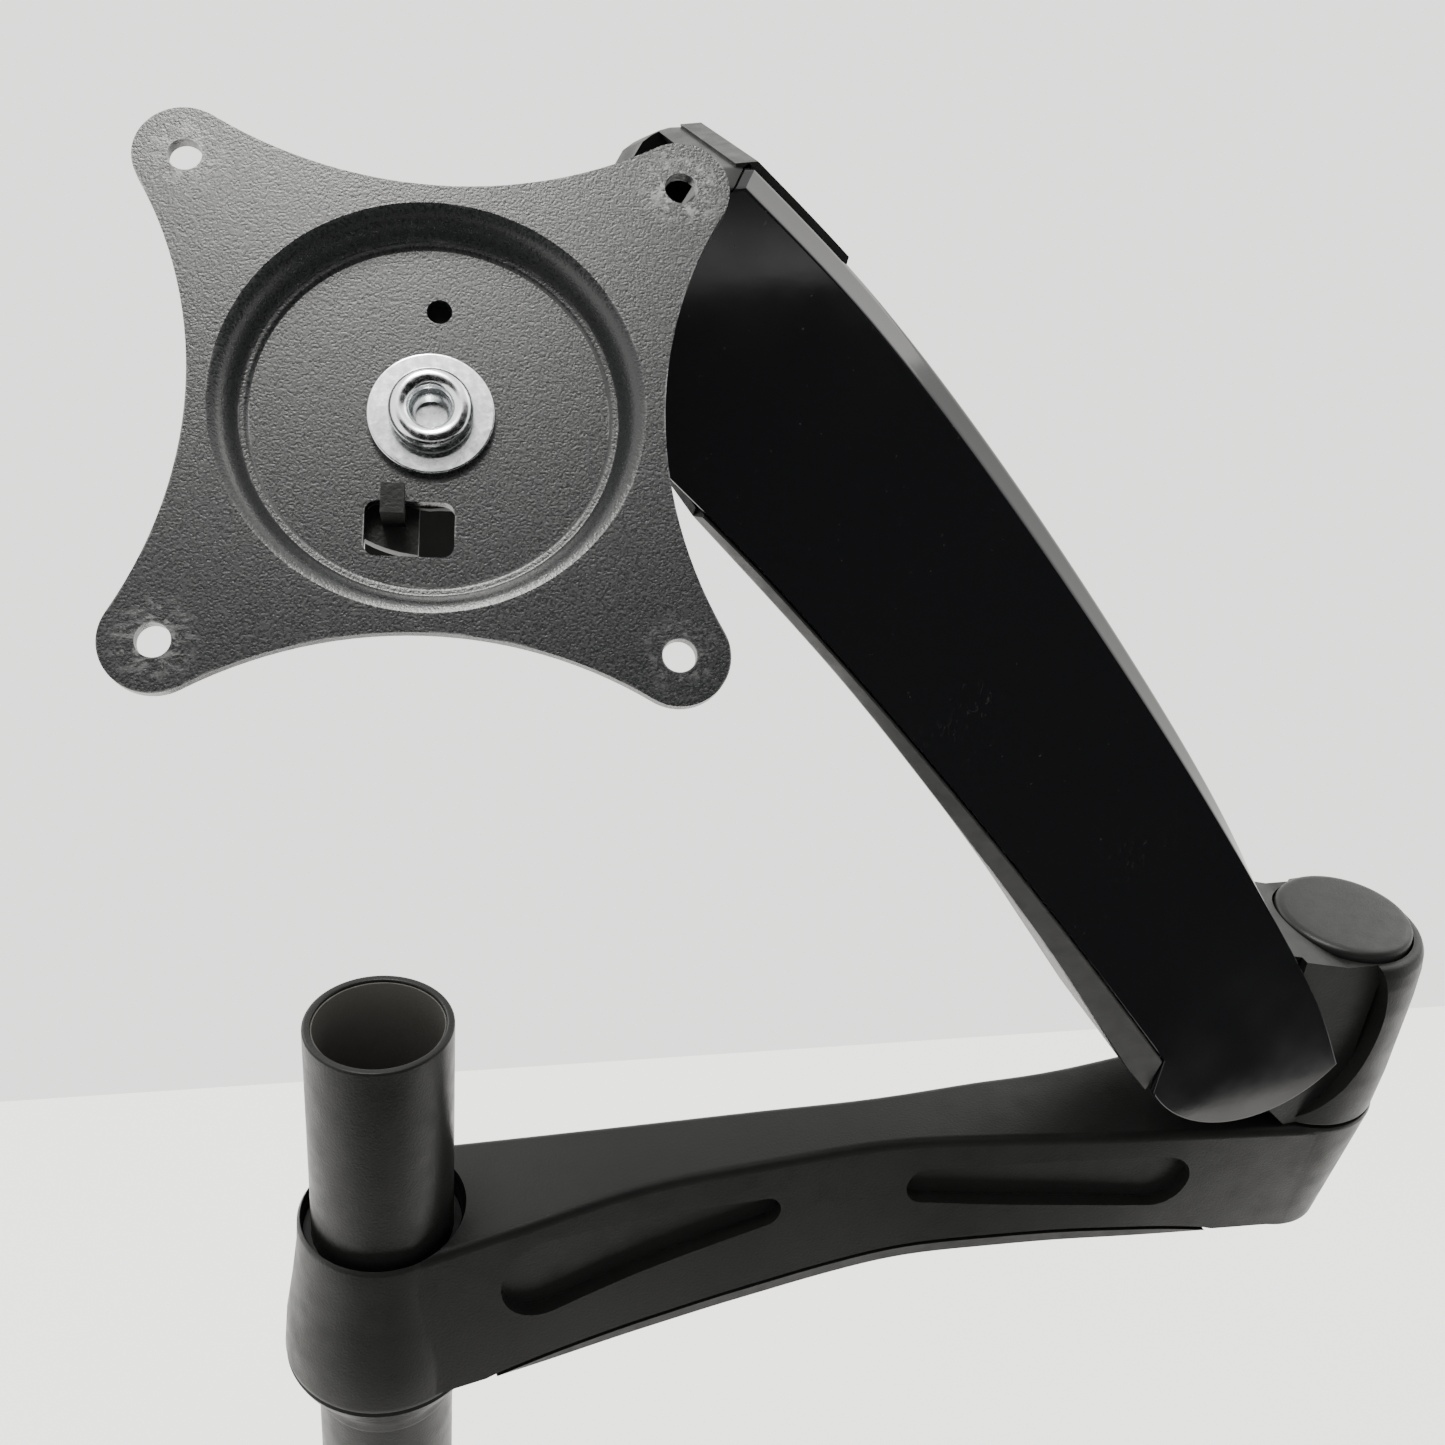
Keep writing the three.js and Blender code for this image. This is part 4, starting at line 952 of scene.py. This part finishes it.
def head_block():
    half = 17
    link_eye, pan = (LINK_X, LINK_Z), (PAN_REACH, 0)
    upper_web = slab(bar((0, 0), (20, -12), 11, 9), -half, half, "y")
    lower_web = slab(bar(link_eye, (26, -19), 8, 12), -half, half, "y")
    neck = block((20, PAN_REACH), (-12, 12), (-31, -7))
    block_part = joined(upper_web, lower_web, neck, rod(15, -33, -5, "z", pan, 96))
    cast(block_part, 0.7, 4)
    slot = slab(bar(link_eye, (LINK_X - 26, LINK_Z - 26), 8.2, 8.2), 4.2, 9.8, "y")
    cut(block_part, slot, rod(4.1, -30, 30, "y"), rod(3.6, -30, 30, "y", link_eye),
        rod(6.1, -40, 0, "z", pan))
    placed(block_part, "head_casting", HEAD, "head", PAINT, ["head_block"])


def pan_yoke():
    top, bottom, sheet, half, ear = 14.6, -15.8, 3, 13.5, 3
    outline = arc((0, 0), half, 90, 270, 40) + [(22, -half), (22, half)]
    yoke = joined(slab(outline, top, top + sheet), slab(outline, bottom - sheet, bottom),
                  block((19, 22), (-half, half), (bottom - sheet, top + sheet)))
    for flange in both_sides(bar((20, 0), (TILT_REACH, 0), 12, 9), half - ear, half):
        combined(flange, [block((20, 60), (-30, 30), (-30, 30))], "INTERSECT")
        joined(yoke, flange)
    cut(yoke, rod(5.1, -40, 40), rod(4.1, -40, 40, "y", (TILT_REACH, 0)))
    placed(softened(yoke, 0.6), "yoke_bracket", YOKE, "yoke", PAINT, ["pan_yoke"])


def pan_fasteners():
    profile = [(0, -26), (5, -26), (5, 17.7), (9, 17.7), (9, 21), (8, 22), (0, 22)]
    bolt = lathe(rounded(profile, 0.6), 64)
    cut(bolt, slab(circle(3.4, segments=6), 18.8, 25))
    placed(bolt, "pan_bolt_detail", YOKE, "yoke", DULL_ZINC, ["pan_bolt"])
    nut = hexagon_nut(9, -25, -19, 5.15)
    placed(nut, "pan_nut_detail", YOKE, "yoke", DULL_ZINC, ["pan_nut"])


def tilt_bracket():
    face, sheet, half = 27, 2.5, 17.2
    bracket = rod(21, face - sheet, face, "x", (0, 0), 96)
    outline = [(-7, -6), (0, -9), (face - 1, -13), (face - 1, 13), (0, 9), (-7, 6)]
    joined(bracket, *both_sides(outline, half - sheet, half))
    window = block((face - 4, face + 1), (-1.5, 6), (-22, -13))
    cut(bracket, window)
    tab_y = (-6.9, -3.4)
    tab = block((face - 1, 34), tab_y, (-16.6, -14.6))
    hook = block((32, 34), tab_y, (-16.6, -12))
    joined(bracket, tab, hook)
    cut(bracket, rod(4.1, -40, 40, "y"), rod(5.2, 0, 40, "x"))
    placed(softened(bracket, 0.5), "tilt_plate", PLATE, "bracket", PAINT, ["tilt_bracket"])


def tilt_fasteners():
    head = rod(7, 19.4, 24, "y", (0, 0), 64)
    cut(head, slab(circle(2.9, segments=6), 21.4, 26, "y"))
    softened(head, 0.6)
    shank = softened(rod(4, -24.5, 19.5, "y", (0, 0), 48), 0.5)
    placed(head, "tilt_bolt_head", PLATE, "bracket", DULL_ZINC, ["tilt_bolt"])
    placed(shank, "tilt_bolt_shank", PLATE, "bracket", DULL_ZINC, ["tilt_bolt"])
    nut = hexagon_nut(7.5, 19.35, 24.85, 4.15)
    nut.data.transform(Matrix.Rotation(math.pi / 2, 4, "X"))
    placed(nut, "tilt_nut_detail", PLATE, "bracket", DULL_ZINC, ["tilt_nut"])


# ---------------------------------------------------------------- screen plate
def star_outline():
    """Four round lobes joined by long hollow arcs."""
    corner = PITCH / 2
    reach = (2 * corner ** 2 - (WAIST - LOBE) ** 2) / (2 * (corner - (WAIST - LOBE)))
    lean = math.degrees(math.atan2(corner, reach - corner))
    out = []
    for turn in (0, 90, 180, 270):
        c, s = math.cos(math.radians(turn)), math.sin(math.radians(turn))
        out += arc((corner * (c - s), corner * (s + c)), LOBE, turn - lean, turn + 90 + lean, 28)
        hollow = arc((-reach * s, reach * c), reach - WAIST, turn - 90 + lean, turn - 90 - lean, 28)
        out += hollow[1:-1]
    return out


def screen_plate():
    floor = FACE - DEPTH
    rim = cut(slab(star_outline(), FACE - SHEET, FACE), rod(DISH + 1.4, 0, 60, "z", (0, 0), 160))
    lip = [(2.4, 0), (1.3, -0.1), (0.4, -0.4), (-0.4, -1.0), (-1.1, -1.9), (-1.7, -3.1)]
    foot = [(-2.1, 1.1), (-2.5, 0.5), (-2.8, 0.4), (-3.2, 0.45), (-3.6, 0.3), (-3.9, 0)]
    front = [(DISH + r, FACE + z) for r, z in lip] + [(DISH + r, floor + z) for r, z in foot]
    back = [(DISH - 4, floor - SHEET), (DISH - 2.6, floor - SHEET + 0.4)]
    back += [(DISH + r, FACE - SHEET + z) for r, z in ((-0.4, -0.8), (0.8, -0.15), (2.4, 0))]
    dish = lathe([(0.01, floor - SHEET), *back, *front, (0, floor)], 160)
    joined(rim, dish)
    corner = PITCH / 2
    holes = [rod(2.55, 0, 60, "z", (x, y), 48) for x in (-corner, corner) for y in (-corner, corner)]
    slot = slab(rounded_box((13.7, 22.3), (-9.4, 4), 1.8), 0, 60)
    cut(rim, *holes, rod(5.2, 0, 60), rod(1.95, 0, 60, "z", (-17, 0.7), 40), slot)
    softened(rim, 0.35, 3, 55)
    placed(rim, "plate_pressing", FACING, "plate", POWDER, ["screen_plate"], 30)


def plate_washer():
    seat = FACE - DEPTH + 0.1
    profile = [(5.1, seat), (9.6, seat), (9.6, seat + 1.3), (5.1, seat + 1.3)]
    washer = lathe(rounded(profile, 0.3), 96)
    placed(washer, "plate_washer_detail", FACING, "plate", ZINC, ["plate_washer"])


def plate_rivet():
    seat = FACE - DEPTH + 1.5
    roll = arc((4.75, seat + 1.75), 1.65, -10, 190, 24)
    profile = [(0, 20.5), (8, 20.5), (8, 23), (5, 23), (5, seat), (6.2, seat), (6.4, seat + 0.25)]
    profile += [*roll, (3.1, seat - 0.6), (2.4, seat - 1.5), (0, seat - 1.8)]
    rivet = lathe(profile, 96)
    placed(rivet, "rolled_rivet", FACING, "plate", ZINC, ["plate_rivet"])


# ---------------------------------------------------------------- CAD pieces that keep their own mesh
def kept_nodes():
    slots = {part["node"]: part["material_slot"] for part in frame["record"]["subparts"]}
    for name, node in frame["nodes"].items():
        if node.hide_render:
            continue
        node.data.materials.clear()
        node.data.materials.append(KEPT_FINISHES[slots[name]])


# ---------------------------------------------------------------- stage, camera and light
FLOOR_Z = cad_box[0].z - 0.004
YAW, PITCH_DOWN, ROLL = math.radians(14.1), math.radians(29.6), math.radians(5.82)
EYE = Vector((0, -0.2959, 0.6117))


def stage():
    s = Surface("pale_floor", specular_ior_level=0.2)
    s.colour(s.mixed(s.noise(6, 3), (0.86, 0.855, 0.84), (0.90, 0.895, 0.88)))
    s.roughness(s.ranged(s.noise(30, 3), 0.3, 0.7, 0.55, 0.7))
    floor = slab(rounded_box((-2.2, 2.2), (-2.2, 0.52), 0.02), FLOOR_Z - 0.02, FLOOR_Z)
    floor.name = "floor"
    floor.data.materials.append(s.material)


def dark_card(name, size, place, facing):
    """A black card that only reflections see, so that the polished cover stays dark."""
    s = Surface(name, roughness=1.0, specular_ior_level=0.0)
    s.shader.inputs["Base Color"].default_value = (0.004, 0.004, 0.004, 1)
    card = block((-size[0], size[0]), (-size[1], size[1]), (-0.002, 0.002))
    card.name = name
    card.data.materials.append(s.material)
    card.location = place
    card.rotation_euler = (Vector(facing) - Vector(place)).to_track_quat("Z", "Y").to_euler()
    card.visible_camera = card.visible_diffuse = False
    card.visible_shadow = card.visible_transmission = False


def soft_light(name, place, target, size, power, tone=(1.0, 0.985, 0.96)):
    lamp = bpy.data.lights.new(name, "AREA")
    lamp.shape = "RECTANGLE"
    lamp.size, lamp.size_y = size
    lamp.energy = power
    lamp.color = tone
    made = bpy.data.objects.new(name, lamp)
    made.location = place
    made.rotation_euler = (Vector(target) - Vector(place)).to_track_quat("-Z", "Y").to_euler()
    bpy.context.scene.collection.objects.link(made)


def world():
    made = bpy.data.worlds.new("studio")
    made.use_nodes = True
    sky = made.node_tree.nodes["Background"].inputs
    sky["Color"].default_value = (0.74, 0.735, 0.72, 1)
    sky["Strength"].default_value = 2.7
    bpy.context.scene.world = made


def camera():
    lens = bpy.data.cameras.new("camera")
    lens.sensor_width = 36
    lens.lens = 40.26
    lens.clip_start = 0.01
    made = bpy.data.objects.new("camera", lens)
    aim = Matrix.Rotation(-YAW, 4, "Z") @ Matrix.Rotation(math.pi / 2 - PITCH_DOWN, 4, "X")
    made.matrix_world = Matrix.Translation(EYE) @ aim @ Matrix.Rotation(ROLL, 4, "Z")
    bpy.context.scene.collection.objects.link(made)
    bpy.context.scene.camera = made


camera()
for make in (
    base_plate, desk_pad, pole, clamp_bracket, bracket_screws, clamp_screw, clamp_handle, clamp_pad,
    jaw_nut, stop_collar, collar_screw, lower_arm, bottom_cover, cover_screws, knuckle, knuckle_cap,
    top_cover, underside_cover, front_cap, arm_channel, level_link, strut_cylinder, strut_rod,
    head_block, pan_yoke, pan_fasteners, tilt_bracket, tilt_fasteners, screen_plate, plate_washer,
    plate_rivet, kept_nodes, stage, world,
):
    make()
dark_card("front_card", (1.8, 0.97), (0.35, -1.15, 1.05), (0.1, 0, 0.45))
dark_card("floor_card", (1.9, 1.0), (0.3, -1.36, FLOOR_Z + 0.006), (0.3, -1.36, 3))
soft_light("key", (-0.2, -0.05, 2.0), (0.05, 0, 0.45), (0.7, 0.4), 40)
soft_light("fill", (1.5, 0.6, 1.5), (0.1, 0, 0.35), (1.2, 1.2), 14)
soft_light("back", (-1.0, 1.4, 1.3), (0.1, 0, 0.4), (1.4, 0.9), 20)
